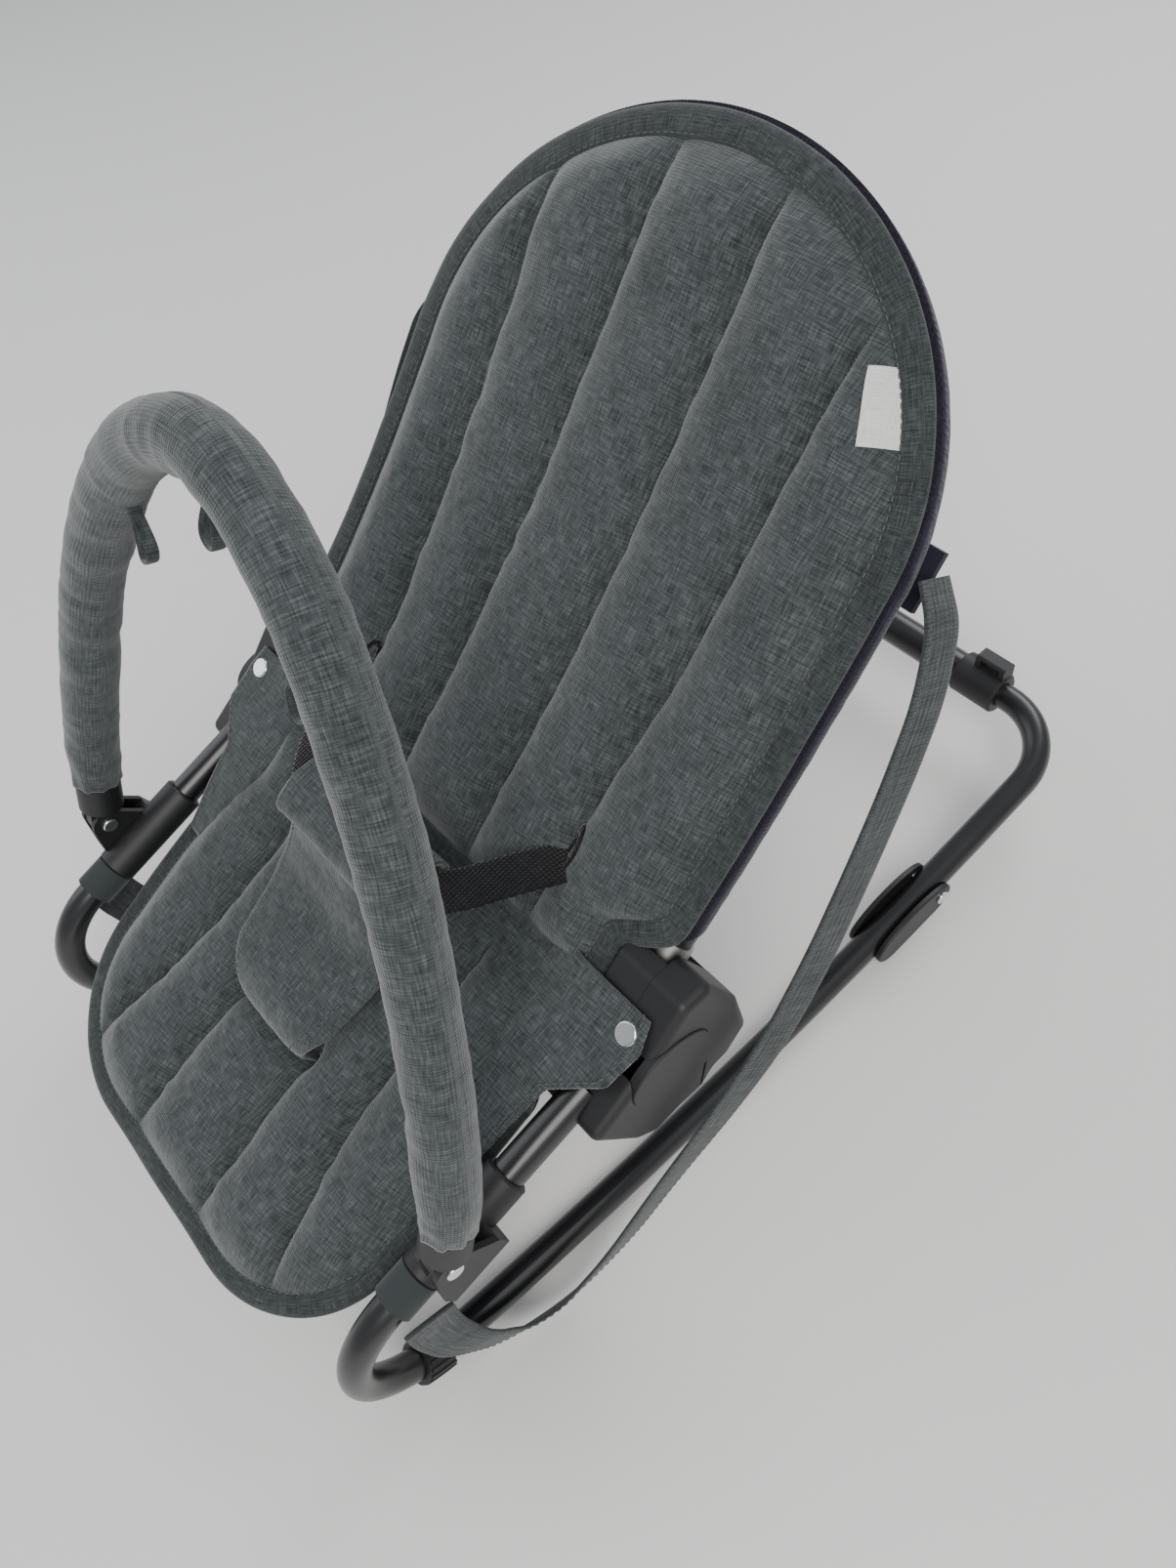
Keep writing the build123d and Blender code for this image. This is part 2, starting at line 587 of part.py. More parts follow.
def seat_pad():
    """Padded seat over the seat tube, with the crotch opening through it."""
    lift = SEAT_TUBE_D / 2 + 0.5
    return extrude(seat_plane(lift) * seat_outline(0, 4), amount=SEAT_PAD_T)


def seat_liner():
    """Thin cover under the seat tube that closes the seat's pocket."""
    lift = -SEAT_TUBE_D / 2 - 0.5 - LINER_T
    return extrude(seat_plane(lift) * seat_outline(3, 24), amount=LINER_T)


def tunnel_ellipse(grow):
    """Section of the belt tunnel in the side view."""
    centre = seat_plane(TUNNEL_LIFT).from_local_coords(Vector(0, TUNNEL_Y, 0))
    oval = Ellipse(TUNNEL_A + grow, TUNNEL_B + grow)
    return Pos(centre.Y, centre.Z) * Rot(0, 0, belt_slope()) * oval


def crotch_pad():
    """Padded tongue that rises through the seat's opening and lies back towards the waist."""
    low = SEAT_TUBE_D / 2 + SEAT_PAD_T + 1.2
    rise = TUNNEL_LIFT - low - 6
    band = [(CROTCH_Y, low), (36, low), (4, low + rise), (0, low + rise + CROTCH_T)]
    band += [(33, low + CROTCH_T), (CROTCH_Y, low + CROTCH_T)]
    side = [seat_plane().from_local_coords(Vector(0, y, z)) for y, z in band]
    profile = make_face(Polyline(*[(p.Y, p.Z) for p in side], close=True))
    plan = Pos(0, CROTCH_Y / 2) * RectangleRounded(CROTCH_W, CROTCH_Y, 20)
    tongue = slab_x(profile, -CROTCH_W / 2, CROTCH_W / 2)
    tongue &= extrude(seat_plane() * plan, amount=4 * TUNNEL_LIFT, both=True)
    root = Pos(0, CROTCH_Y) * Rectangle(SLOT_W - 2, SLOT_L - 4)
    root = extrude(seat_plane(-SEAT_TUBE_D / 2) * root, amount=low + SEAT_TUBE_D / 2 + 4)
    return tongue + root - slab_x(tunnel_ellipse(0.3), -TUNNEL_W, TUNNEL_W)


def belt_slope():
    """Slope of the belt, from the tunnel up to its slots in the backrest."""
    centre = seat_plane(TUNNEL_LIFT).from_local_coords(Vector(0, TUNNEL_Y, 0))
    return degrees(atan2(BELT_SLOT_Z - centre.Z, BELT_SLOT_Y - centre.Y))


def belt_plane():
    """Plane of the waist belt: its own x is across the seat, its own y runs to the backrest."""
    a = radians(belt_slope())
    centre = seat_plane(TUNNEL_LIFT).from_local_coords(Vector(0, TUNNEL_Y, 0))
    return Plane(origin=(0, centre.Y, centre.Z), x_dir=(1, 0, 0), z_dir=(0, -sin(a), cos(a)))


def belt_tunnel():
    """Folded sleeve at the top of the crotch pad that the waist belt runs through."""
    ring = tunnel_ellipse(0) - tunnel_ellipse(-TUNNEL_WALL)
    return slab_x(ring, -TUNNEL_W / 2, TUNNEL_W / 2)


def waist_strap():
    """Half of the waist webbing, from the buckle to the backrest's side slot."""
    slot = belt_plane().to_local_coords(Vector(BELT_SLOT_X, BELT_SLOT_Y, BELT_SLOT_Z))
    bend = TUNNEL_W / 2 + 8
    start = BUCKLE_W / 2 + 0.2
    inner = Pos((start + bend) / 2, 0) * Rectangle(bend - start, BELT_W)
    dx, dy = slot.X - bend, slot.Y
    run = (dx * dx + dy * dy) ** 0.5
    turn = degrees(atan2(dy, dx))
    outer = Pos(bend + dx / 2, dy / 2) * Rot(0, 0, turn) * Rectangle(run, BELT_W)
    corner = Pos(bend, 0) * Circle(BELT_W / 2)
    return extrude(belt_plane() * (inner + outer + corner), amount=BELT_T / 2, both=True)


def belt_buckle():
    """Two-part side-release buckle hidden in the tunnel, as one closed body."""
    body = belt_plane() * Box(BUCKLE_W, BUCKLE_L, BUCKLE_T)
    return chamfer(body.edges(), 1.5)


def flap_plane():
    a = radians(FLAP_TILT)
    return Plane(origin=(0, STUD_Y, STUD_Z), x_dir=(1, 0, 0), z_dir=(0, -sin(a), cos(a)))


def hip_flap():
    """Fabric flap over the hub, held down by the press stud."""
    flap = Pos(FLAP_X, 12 - FLAP_L / 2) * RectangleRounded(FLAP_W, FLAP_L, 8)
    return extrude(flap_plane() * (flap - Pos(STUD_X, 0) * Circle(2)), amount=FLAP_T)


def press_stud():
    """Press stud through the flap: domed cap on top of a short post."""
    post = extrude(flap_plane() * Pos(STUD_X, 0) * Circle(2), amount=FLAP_T)
    cap = Pos(STUD_X, 0, FLAP_T) * extrude(Circle(STUD_R), amount=1.9)
    cap = fillet(cap.faces().sort_by(Axis.Z)[-1].edges(), 1.2)
    return post + flap_plane() * cap


# ---- backrest ------------------------------------------------------------------------------------
def back_frame():
    """Frame of the backrest at rest: origin on the recline axis, x across, y up it, z forwards."""
    a = radians(BACK_TILT)
    return Plane(origin=(0, HUB_Y, HUB_Z), x_dir=(1, 0, 0), z_dir=(0, -sin(a), cos(a)))


def back_bow(y, lift=0.0):
    """Height of the curved backrest over its chord at y: bowed at first, then straight on."""
    half = BACK_CHORD / 2
    bowed = min(y, BACK_STRAIGHT)
    slope = (bowed - half) / BACK_CURVE_R
    return lift - (half**2 - (bowed - half) ** 2) / (2 * BACK_CURVE_R) + slope * (y - bowed)


def back_tube():
    """U-shaped tube: bowed sides and a half-round top."""
    side = back_edge(BACK_TUBE_START, BACK_STRAIGHT)
    end = side @ 1
    top = Vector(0, end.Y, end.Z) + (side % 1) * BACK_TUBE_X
    arch = ThreePointArc(end, top, Vector(-end.X, end.Y, end.Z))
    path = Wire([*side.edges(), *arch.edges(), *left(side).edges()])
    return back_frame().location * tube(path, TUBE_D, TUBE_WALL)


def back_slab(lift, thick):
    """Curved slab of the backrest's full size, from lift in front of the tube's centreline."""
    y0, y1, y2 = 5, BACK_STRAIGHT, BACK_STRAIGHT + BACK_TUBE_X + 30
    ys = (y0, (y0 + y1) / 2, y1)
    low = [(y, back_bow(y, lift)) for y in ys]
    high = [(y, back_bow(y, lift + thick)) for y in ys]
    low_end = (y2, back_bow(y2, lift))
    high_end = (y2, back_bow(y2, lift + thick))
    lower = ThreePointArc(*low) + Line(low[-1], low_end) + Line(low_end, high_end)
    upper = Line(high_end, high[-1]) + ThreePointArc(*reversed(high)) + Line(high[0], low[0])
    width = 2.6 * PAD_HALF_W
    return slab_x(make_face(lower + upper), -width / 2, width / 2)


def back_outline(half_w, top, start):
    """Plan of the backrest: straight sides, elliptical top, narrower between the hubs."""
    straight = top - PAD_TOP_B
    sides = Pos(0, (straight + start) / 2) * Rectangle(2 * half_w, straight - start)
    cap = Ellipse(half_w, PAD_TOP_B) - Pos(0, -PAD_TOP_B / 2) * Rectangle(3 * half_w, PAD_TOP_B)
    outline = sides + Pos(0, straight) * cap
    for side in (-1, 1):
        outline -= Pos(side * (NOTCH_X + 50), NOTCH_TOP / 2) * Rectangle(100, NOTCH_TOP)
    return outline


def back_panel(lift, thick, half_w, top, start):
    prism = extrude(Plane.XY * back_outline(half_w, top, start), amount=PAD_HALF_W, both=True)
    return back_frame().location * (back_slab(lift, thick) & prism)


def back_pad():
    """Padded front of the backrest."""
    return back_panel(RAIL_R + 0.6, PAD_T, PAD_HALF_W, PAD_STRAIGHT_TOP + PAD_TOP_B, PAD_START)


def back_liner():
    """Thin rear cover of the backrest, behind the tube."""
    lift = -RAIL_R - 0.6 - LINER_T
    return back_panel(lift, LINER_T, PAD_HALF_W - 3, PAD_STRAIGHT_TOP + PAD_TOP_B - 4, 44)


def on_back(shape, x, y, lift):
    """Place a flat shape on the straight upper part of the backrest, square to its slope."""
    slope = degrees(atan2(BACK_STRAIGHT - BACK_CHORD / 2, BACK_CURVE_R))
    return back_frame().location * Pos(x, y, back_bow(y, lift)) * Rot(slope, 0, 0) * shape


def side_label():
    """Small woven label sewn into the right-hand edge."""
    return on_back(Rot(0, 0, 34) * Box(17, 34, 0.6), 130, 332, RAIL_R + 0.6 + PAD_T + 0.6)


def strap_tab():
    """Sewn tab behind the backrest's edge that the carry strap hangs from."""
    return on_back(Box(34, 30, 4), PAD_HALF_W - 17, 262, -RAIL_R - 0.6 - LINER_T - 2.3)


# ---- carry straps --------------------------------------------------------------------------------
def carry_strap():
    """Carry strap hanging from the backrest's edge to the loop on the seat rail."""
    route = [Vector(*p) for p in STRAP_ROUTE]
    radii = bend_radii(route)
    path = FilletPolyline(*route, radius=radii)
    solid = bar(path, STRAP_D)
    length = sum(e.length for e in path.edges())
    print("strap length", round(length, 1), "radii", [round(r) for r in radii])
    print("volume ratio", round(solid.volume / (length * pi * STRAP_D**2 / 4), 4))
    return solid


def strap_loop():
    """Sewn loop of the carry strap round the seat rail, below the toy bar's socket."""
    ring = Circle(RAIL_R + 0.1 + LOOP_T) - Circle(RAIL_R + 0.1)
    return on_seat_rail(Rot(-90, 0, 0) * extrude(ring, amount=LOOP_W), 0.3)


# ---- write every piece -----------------------------------------------------------------------------
write_pair("side_tube", side_tube())
write("rear_crossbar", crossbar())
write_pair("crossbar_collar", crossbar_collar())
write_pair("grip_collar", grip_collar())
write_pair("flip_foot", flip_foot())
write_both("foot_rivets", foot_rivet())
write_pair("bar_socket", bar_socket())
write_both("bar_rivets", bar_rivet())
write_pair("bar_plug", bar_plug())
write("toy_bar_tube", tube(bar_path(), BAR_TUBE_D, 1.0))
write("toy_bar_sleeve", bar_sleeve())
write("toy_loops", Compound([s for spec in BAR_LOOPS for s in toy_loop(*spec).solids()]))
write_pair("hub_outer_cover", hub_outer_cover())
write_pair("hub_inner_cover", hub_inner_cover())
write_both("hub_screws", hub_screws())
write_both("fixed_rings", fixed_ring())
write_pair("moving_ring", moving_ring())
write_pair("lock_gear", lock_gear())
write_pair("release_button", release_button())
write_pair("release_spring", release_spring())
write_both("pivot_bolts", pivot_bolt())
write("seat_tube", seat_tube())
write_both("seat_tube_screws", seat_screw())
write("seat_pad", seat_pad())
write("seat_liner", seat_liner())
write("crotch_pad", crotch_pad())
write("belt_tunnel", belt_tunnel())
write_pair("waist_strap", waist_strap())
write("belt_buckle", belt_buckle())
write_pair("hip_flap", hip_flap())
write_both("press_studs", press_stud())
write("backrest_tube", back_tube())
write("backrest_pad", back_pad())
write("backrest_liner", back_liner())
write("side_label", side_label())
write_both("strap_tabs", strap_tab())
write_pair("carry_strap", carry_strap())
write_both("strap_loops", strap_loop())
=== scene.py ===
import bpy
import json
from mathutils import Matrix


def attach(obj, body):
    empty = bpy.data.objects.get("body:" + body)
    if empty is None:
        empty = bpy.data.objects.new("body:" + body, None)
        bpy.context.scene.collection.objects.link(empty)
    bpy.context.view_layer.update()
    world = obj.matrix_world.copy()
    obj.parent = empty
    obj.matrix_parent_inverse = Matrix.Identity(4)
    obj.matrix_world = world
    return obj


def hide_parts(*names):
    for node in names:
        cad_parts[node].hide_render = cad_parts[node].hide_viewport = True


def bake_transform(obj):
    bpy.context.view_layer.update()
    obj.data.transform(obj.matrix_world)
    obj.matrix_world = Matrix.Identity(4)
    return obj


bl_info = {
    "name": "Baby bouncer seat",
    "version": (1, 0, 0),
    "blender": (4, 5, 0),
    "location": "View3D > Sidebar > Bouncer",
    "description": "Builds the visible pieces of a baby bouncer seat over its CAD frame",
    "category": "Object",
}

import json
import math

import bmesh
import bpy
import numpy as np
from mathutils import Matrix, Vector

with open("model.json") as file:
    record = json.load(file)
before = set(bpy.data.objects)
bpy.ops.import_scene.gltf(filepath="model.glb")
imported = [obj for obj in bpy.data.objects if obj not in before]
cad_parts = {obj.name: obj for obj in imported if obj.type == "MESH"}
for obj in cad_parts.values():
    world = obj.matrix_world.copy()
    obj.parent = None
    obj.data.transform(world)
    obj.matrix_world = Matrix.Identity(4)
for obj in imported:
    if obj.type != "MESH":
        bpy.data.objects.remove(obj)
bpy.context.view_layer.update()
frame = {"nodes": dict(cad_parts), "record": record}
JOINTS = {j["name"]: j for j in frame["record"]["behaviour"]["joints"]}
HUB = np.array(JOINTS["backrest_recline"]["pos_m"])
BAR = np.array(JOINTS["toy_bar_swing"]["pos_m"])
SHIFT_Y = HUB[1] - 0.020  # the side profiles below are in the rocker's own y
MM = 0.001

BACK_TILT, SEAT_TILT, BAR_TILT = 45.6, 25.0, 70.0
CURVE_R, CHORD_HALF, BOW_END = 1220.0, 155.0, 231.0
BACK_HALF_W, BACK_ARCH, BACK_ARCH_Y, BACK_START = 171.0, 150.0, 251.0, -2.0
SEAT_START, SEAT_END, SEAT_CORNER = -31.0, 238.0, 92.0
BELT_SLOT_X, BELT_SLOT_Y, BELT_SLOT_HALF = 94.5, 58.0, 17.0
LABEL_X, LABEL_Y, LABEL_TURN, LABEL_HALF = 131.0, 318.0, 26.0, (8.5, 17.0)


# ---- geometry helpers, in millimetres until a mesh is made ------------------------------------
def smooth(a, b, v):
    t = np.clip((v - a) / (b - a), 0, 1)
    return t * t * (3 - 2 * t)


def value_noise(x, y, seed):
    """Smooth random field over the plane, from -1 to 1, with one value per unit square."""
    rng = np.random.default_rng(seed)
    lattice = rng.uniform(-1, 1, (64, 64))
    xi, yi = np.floor(x).astype(int), np.floor(y).astype(int)
    fx, fy = x - xi, y - yi
    fx, fy = fx * fx * (3 - 2 * fx), fy * fy * (3 - 2 * fy)
    a, b = lattice[xi % 64, yi % 64], lattice[(xi + 1) % 64, yi % 64]
    c, d = lattice[xi % 64, (yi + 1) % 64], lattice[(xi + 1) % 64, (yi + 1) % 64]
    return (a * (1 - fx) + b * fx) * (1 - fy) + (c * (1 - fx) + d * fx) * fy


def fbm(x, y, size, seed, octaves=3):
    total = 0
    for i in range(octaves):
        total = total + value_noise(x * 2**i / size + 7.3 * i, y * 2**i / size, seed + i) / 2**i
    return total


def tilted(origin, tilt, x, along, lift):
    """Row-frame points, in metres, from a plane through origin rising at tilt towards the head end."""
    a = math.radians(tilt)
    px = origin[0] + x * MM
    py = origin[1] + (along * math.cos(a) - lift * math.sin(a)) * MM
    pz = origin[2] + (along * math.sin(a) + lift * math.cos(a)) * MM
    return np.stack(np.broadcast_arrays(px, py, pz), axis=-1)


def on_back(x, s, n):
    return tilted(HUB, BACK_TILT, x, s, n)


def on_seat(x, t, lift):
    """t runs from the rear end of the seat tube towards the feet end."""
    a = math.radians(SEAT_TILT)
    px = x * MM
    py = SHIFT_Y + (-8 - t * math.cos(a) - lift * math.sin(a)) * MM
    pz = (172 - t * math.sin(a) + lift * math.cos(a)) * MM
    return np.stack(np.broadcast_arrays(px, py, pz), axis=-1)


def on_bar(x, t, lift):
    return tilted(np.array([0, BAR[1], BAR[2]]), BAR_TILT, x, t, lift)


def side(x, y, z):
    """Row-frame points from the rocker's own side view."""
    return np.stack(np.broadcast_arrays(x * MM, SHIFT_Y + y * MM, z * MM), axis=-1)


def bow(s):
    bowed = np.minimum(s, BOW_END)
    slope = (bowed - CHORD_HALF) / CURVE_R
    return -(CHORD_HALF**2 - (bowed - CHORD_HALF) ** 2) / (2 * CURVE_R) + slope * (s - bowed)


def make_object(name, verts, faces, uvs, material):
    mesh = bpy.data.meshes.new(name)
    mesh.from_pydata(verts.tolist(), [], faces)
    layer = mesh.uv_layers.new(name="weave")
    loops = np.empty(len(mesh.loops), dtype=np.int32)
    mesh.loops.foreach_get("vertex_index", loops)
    layer.data.foreach_set("uv", np.asarray(uvs, dtype=np.float32)[loops].ravel())
    mesh.polygons.foreach_set("use_smooth", [True] * len(mesh.polygons))
    mesh.materials.append(material)
    mesh.update()
    obj = bpy.data.objects.new(name, mesh)
    bpy.context.scene.collection.objects.link(obj)
    return obj


def grid_faces(rows, cols, offset=0, flip=False, wrap=False):
    faces = []
    for i in range(rows - 1):
        for j in range(cols if wrap else cols - 1):
            k = (j + 1) % cols
            quad = [offset + i * cols + j, offset + i * cols + k]
            quad += [offset + (i + 1) * cols + k, offset + (i + 1) * cols + j]
            faces.append(quad[::-1] if flip else quad)
    return faces


def closed_pad(name, front, back, uv, material):
    """Closed form from a front and a back grid that share their outer edge."""
    rows, cols = front.shape[:2]
    verts = np.concatenate([front.reshape(-1, 3), back.reshape(-1, 3)])
    uvs = np.concatenate([uv.reshape(-1, 2), uv.reshape(-1, 2) + 0.5])
    faces = grid_faces(rows, cols) + grid_faces(rows, cols, rows * cols, flip=True)
    obj = make_object(name, verts, faces, uvs, material)
    weld(obj, 0.00012)
    return obj


def weld(obj, distance):
    mesh_edit = bmesh.new()
    mesh_edit.from_mesh(obj.data)
    bmesh.ops.remove_doubles(mesh_edit, verts=mesh_edit.verts, dist=distance)
    bmesh.ops.recalc_face_normals(mesh_edit, faces=mesh_edit.faces)
    mesh_edit.to_mesh(obj.data)
    mesh_edit.free()


def tube_along(name, points, up, half_w, half_t, material, around=20, power=1.0, wobble=None):
    """Sweep of a flat rounded section along points; up is the thin direction at each point."""
    p = np.asarray(points, dtype=float)
    tangent = np.gradient(p, axis=0)
    tangent /= np.linalg.norm(tangent, axis=1)[:, None]
    up = np.broadcast_to(np.asarray(up, dtype=float), p.shape)
    across = np.cross(tangent, up)
    across /= np.linalg.norm(across, axis=1)[:, None]
    up = np.cross(across, tangent)
    angle = np.linspace(0, 2 * math.pi, around, endpoint=False)
    ca = np.sign(np.cos(angle)) * np.abs(np.cos(angle)) ** power
    sa = np.sign(np.sin(angle)) * np.abs(np.sin(angle)) ** power
    hw = np.broadcast_to(half_w, len(p))[:, None, None] * MM
    ht = np.broadcast_to(half_t, len(p))[:, None, None] * MM
    ring = ca[None, :, None] * across[:, None, :] * hw + sa[None, :, None] * up[:, None, :] * ht
    if wobble is not None:
        ring = ring * (1 + wobble[:, :, None])
    grid = p[:, None, :] + ring
    length = np.concatenate([[0], np.cumsum(np.linalg.norm(np.diff(p, axis=0), axis=1))])
    u = np.broadcast_to(length[:, None], grid.shape[:2])
    girth = 2 * math.pi * float(np.max(hw)) * 0.8
    v = np.broadcast_to(np.linspace(0, girth, around)[None, :], grid.shape[:2])
    rows = len(p)
    faces = grid_faces(rows, around, wrap=True)
    faces += [list(range(around))[::-1], list(range((rows - 1) * around, rows * around))]
    return make_object(name, grid.reshape(-1, 3), faces, np.stack([u, v], -1).reshape(-1, 2), material)


def resample(points, count):
    p = np.asarray(points, dtype=float)
    length = np.concatenate([[0], np.cumsum(np.linalg.norm(np.diff(p, axis=0), axis=1))])
    at = np.linspace(0, length[-1], count)
    return np.stack([np.interp(at, length, p[:, i]) for i in range(p.shape[1])], axis=1)


def filleted(route, keep=0.45, steps=10):
    """Points along straight runs joined by tangent arcs, as the CAD routes are."""
    p = [np.asarray(q, dtype=float) for q in route]
    out = [p[0]]
    for a, b, c in zip(p, p[1:], p[2:]):
        u, v = a - b, c - b
        cut = keep * min(np.linalg.norm(u), np.linalg.norm(v))
        u, v = u / np.linalg.norm(u), v / np.linalg.norm(v)
        half = math.acos(np.clip(np.dot(u, v), -1, 1)) / 2
        radius = cut * math.tan(half)
        middle = (u + v) / np.linalg.norm(u + v)
        centre = b + middle * math.hypot(cut, radius)
        e0, e1 = b + u * cut - centre, b + v * cut - centre
        sweep = math.acos(np.clip(np.dot(e0, e1) / radius**2, -1, 1))
        for k in range(steps + 1):
            f = k / steps
            w0, w1 = math.sin((1 - f) * sweep) / math.sin(sweep), math.sin(f * sweep) / math.sin(sweep)
            out.append(centre + e0 * w0 + e1 * w1)
    out.append(p[-1])
    return np.array(out)


def stitches(name, points, normals, material, pitch=4.2, size=2.9, lift=0.25):
    """Row of thread stitches lying along points."""
    line = np.asarray(points, dtype=float)
    total = np.linalg.norm(np.diff(line, axis=0), axis=1).sum()
    count = max(2, int(total / (pitch * MM)))
    mids = resample(line, count)
    ups = resample(np.broadcast_to(normals, line.shape), count)
    tangent = np.gradient(mids, axis=0)
    tangent /= np.linalg.norm(tangent, axis=1)[:, None]
    across = np.cross(tangent, ups)
    across /= np.linalg.norm(across, axis=1)[:, None]
    ups = np.cross(across, tangent)
    rings = [(-0.5, 0.1), (-0.3, 0.42), (0.3, 0.42), (0.5, 0.1)]
    verts, faces = [], []
    for m, t, a, n in zip(mids, tangent, across, ups):
        base = len(verts)
        for f, r in rings:
            for k in range(5):
                w = 2 * math.pi * k / 5
                off = a * math.cos(w) * r + n * (math.sin(w) * r + lift)
                verts.append(m + (t * f * size + off) * MM)
        for i in range(3):
            for k in range(5):
                j = (k + 1) % 5
                a0, b0 = base + 5 * i, base + 5 * (i + 1)
                faces.append([a0 + k, a0 + j, b0 + j, b0 + k])
    verts = np.array(verts)
    return make_object(name, verts, faces, verts[:, :2], material)


# ---- materials ----------------------------------------------------------------------------------
def new_material(name):
    material = bpy.data.materials.new(name)
    material.use_nodes = True
    nodes = material.node_tree.nodes
    return material, nodes, material.node_tree.links, nodes["Principled BSDF"]


def add(nodes, kind, **inputs):
    node = nodes.new(kind)
    for socket, value in inputs.items():
        node.inputs[socket].default_value = value
    return node


def stretched_noise(nodes, links, source, scale, detail=2.0):
    mapping = add(nodes, "ShaderNodeMapping")
    mapping.inputs["Scale"].default_value = scale
    links.new(source, mapping.inputs["Vector"])
    noise = add(nodes, "ShaderNodeTexNoise", Scale=1.0, Detail=detail, Roughness=0.6)
    links.new(mapping.outputs["Vector"], noise.inputs["Vector"])
    return noise.outputs["Fac"]


def math_node(nodes, links, operation, a, b):
    node = nodes.new("ShaderNodeMath")
    node.operation = operation
    for socket, value in zip(node.inputs, (a, b)):
        if isinstance(value, (int, float)):
            socket.default_value = value
        else:
            links.new(value, socket)
    return node.outputs[0]


def ramp(nodes, links, source, stops):
    node = nodes.new("ShaderNodeValToRGB")
    elements = node.color_ramp.elements
    while len(elements) < len(stops):
        elements.new(0.5)
    for element, (at, colour) in zip(elements, stops):
        element.position = at
        element.color = (*colour, 1)
    links.new(source, node.inputs["Fac"])
    return node.outputs["Color"]


def woven(name, dark, mid, light, threads, coords="UV", slub=1.0, sheen=0.35, bump=0.5):
    """Melange cloth: warp and weft threads of mixed shades, with a woven bump and a soft sheen."""
    material, nodes, links, shader = new_material(name)
    source = nodes.new("ShaderNodeTexCoord").outputs[coords]
    warp = stretched_noise(nodes, links, source, (threads, threads / 14, threads / 2), 3.0)
    weft = stretched_noise(nodes, links, source, (threads / 14, threads, threads / 2), 3.0)
    patch = stretched_noise(nodes, links, source, (26, 26, 26), 3.0)
    mixed = math_node(nodes, links, "ADD", warp, weft)
    mixed = math_node(nodes, links, "MULTIPLY", mixed, 0.5)
    shade = math_node(nodes, links, "MULTIPLY", patch, 0.12 * slub)
    mixed = math_node(nodes, links, "ADD", mixed, shade)
    colour = ramp(nodes, links, mixed, [(0.42, dark), (0.57, mid), (0.75, light)])
    links.new(colour, shader.inputs["Base Color"])
    shader.inputs["Roughness"].default_value = 0.92
    shader.inputs["Specular IOR Level"].default_value = 0.2
    shader.inputs["Sheen Weight"].default_value = sheen
    shader.inputs["Sheen Roughness"].default_value = 0.45
    weave = []
    for scale, direction in ((threads, "X"), (threads, "Y")):
        wave = add(nodes, "ShaderNodeTexWave", Scale=scale / 6.28, Distortion=0.6)
        wave.bands_direction = direction
        links.new(source, wave.inputs["Vector"])
        weave.append(wave.outputs["Fac"])
    height = math_node(nodes, links, "MULTIPLY", weave[0], weave[1])
    height = math_node(nodes, links, "ADD", height, mixed)
    node = add(nodes, "ShaderNodeBump", Strength=bump, Distance=0.0005)
    links.new(height, node.inputs["Height"])
    links.new(node.outputs["Normal"], shader.inputs["Normal"])
    return material


def coated(name, colour, roughness, grain, grain_depth, metallic=0.0, coat=0.0):
    """Painted, plated or moulded surface with a fine grain and slight wear in its roughness."""
    material, nodes, links, shader = new_material(name)
    source = nodes.new("ShaderNodeTexCoord").outputs["Object"]
    shader.inputs["Base Color"].default_value = (*colour, 1)
    shader.inputs["Metallic"].default_value = metallic
    shader.inputs["Coat Weight"].default_value = coat
    shader.inputs["Coat Roughness"].default_value = 0.25
    fine = stretched_noise(nodes, links, source, (grain, grain, grain), 2.0)
    broad = stretched_noise(nodes, links, source, (18, 18, 18), 4.0)
    worn = math_node(nodes, links, "MULTIPLY", broad, 0.16)
    worn = math_node(nodes, links, "ADD", worn, roughness - 0.08)
    links.new(worn, shader.inputs["Roughness"])
    node = add(nodes, "ShaderNodeBump", Strength=0.35, Distance=grain_depth)
    links.new(fine, node.inputs["Height"])
    links.new(node.outputs["Normal"], shader.inputs["Normal"])
    return material


MATERIALS = {}


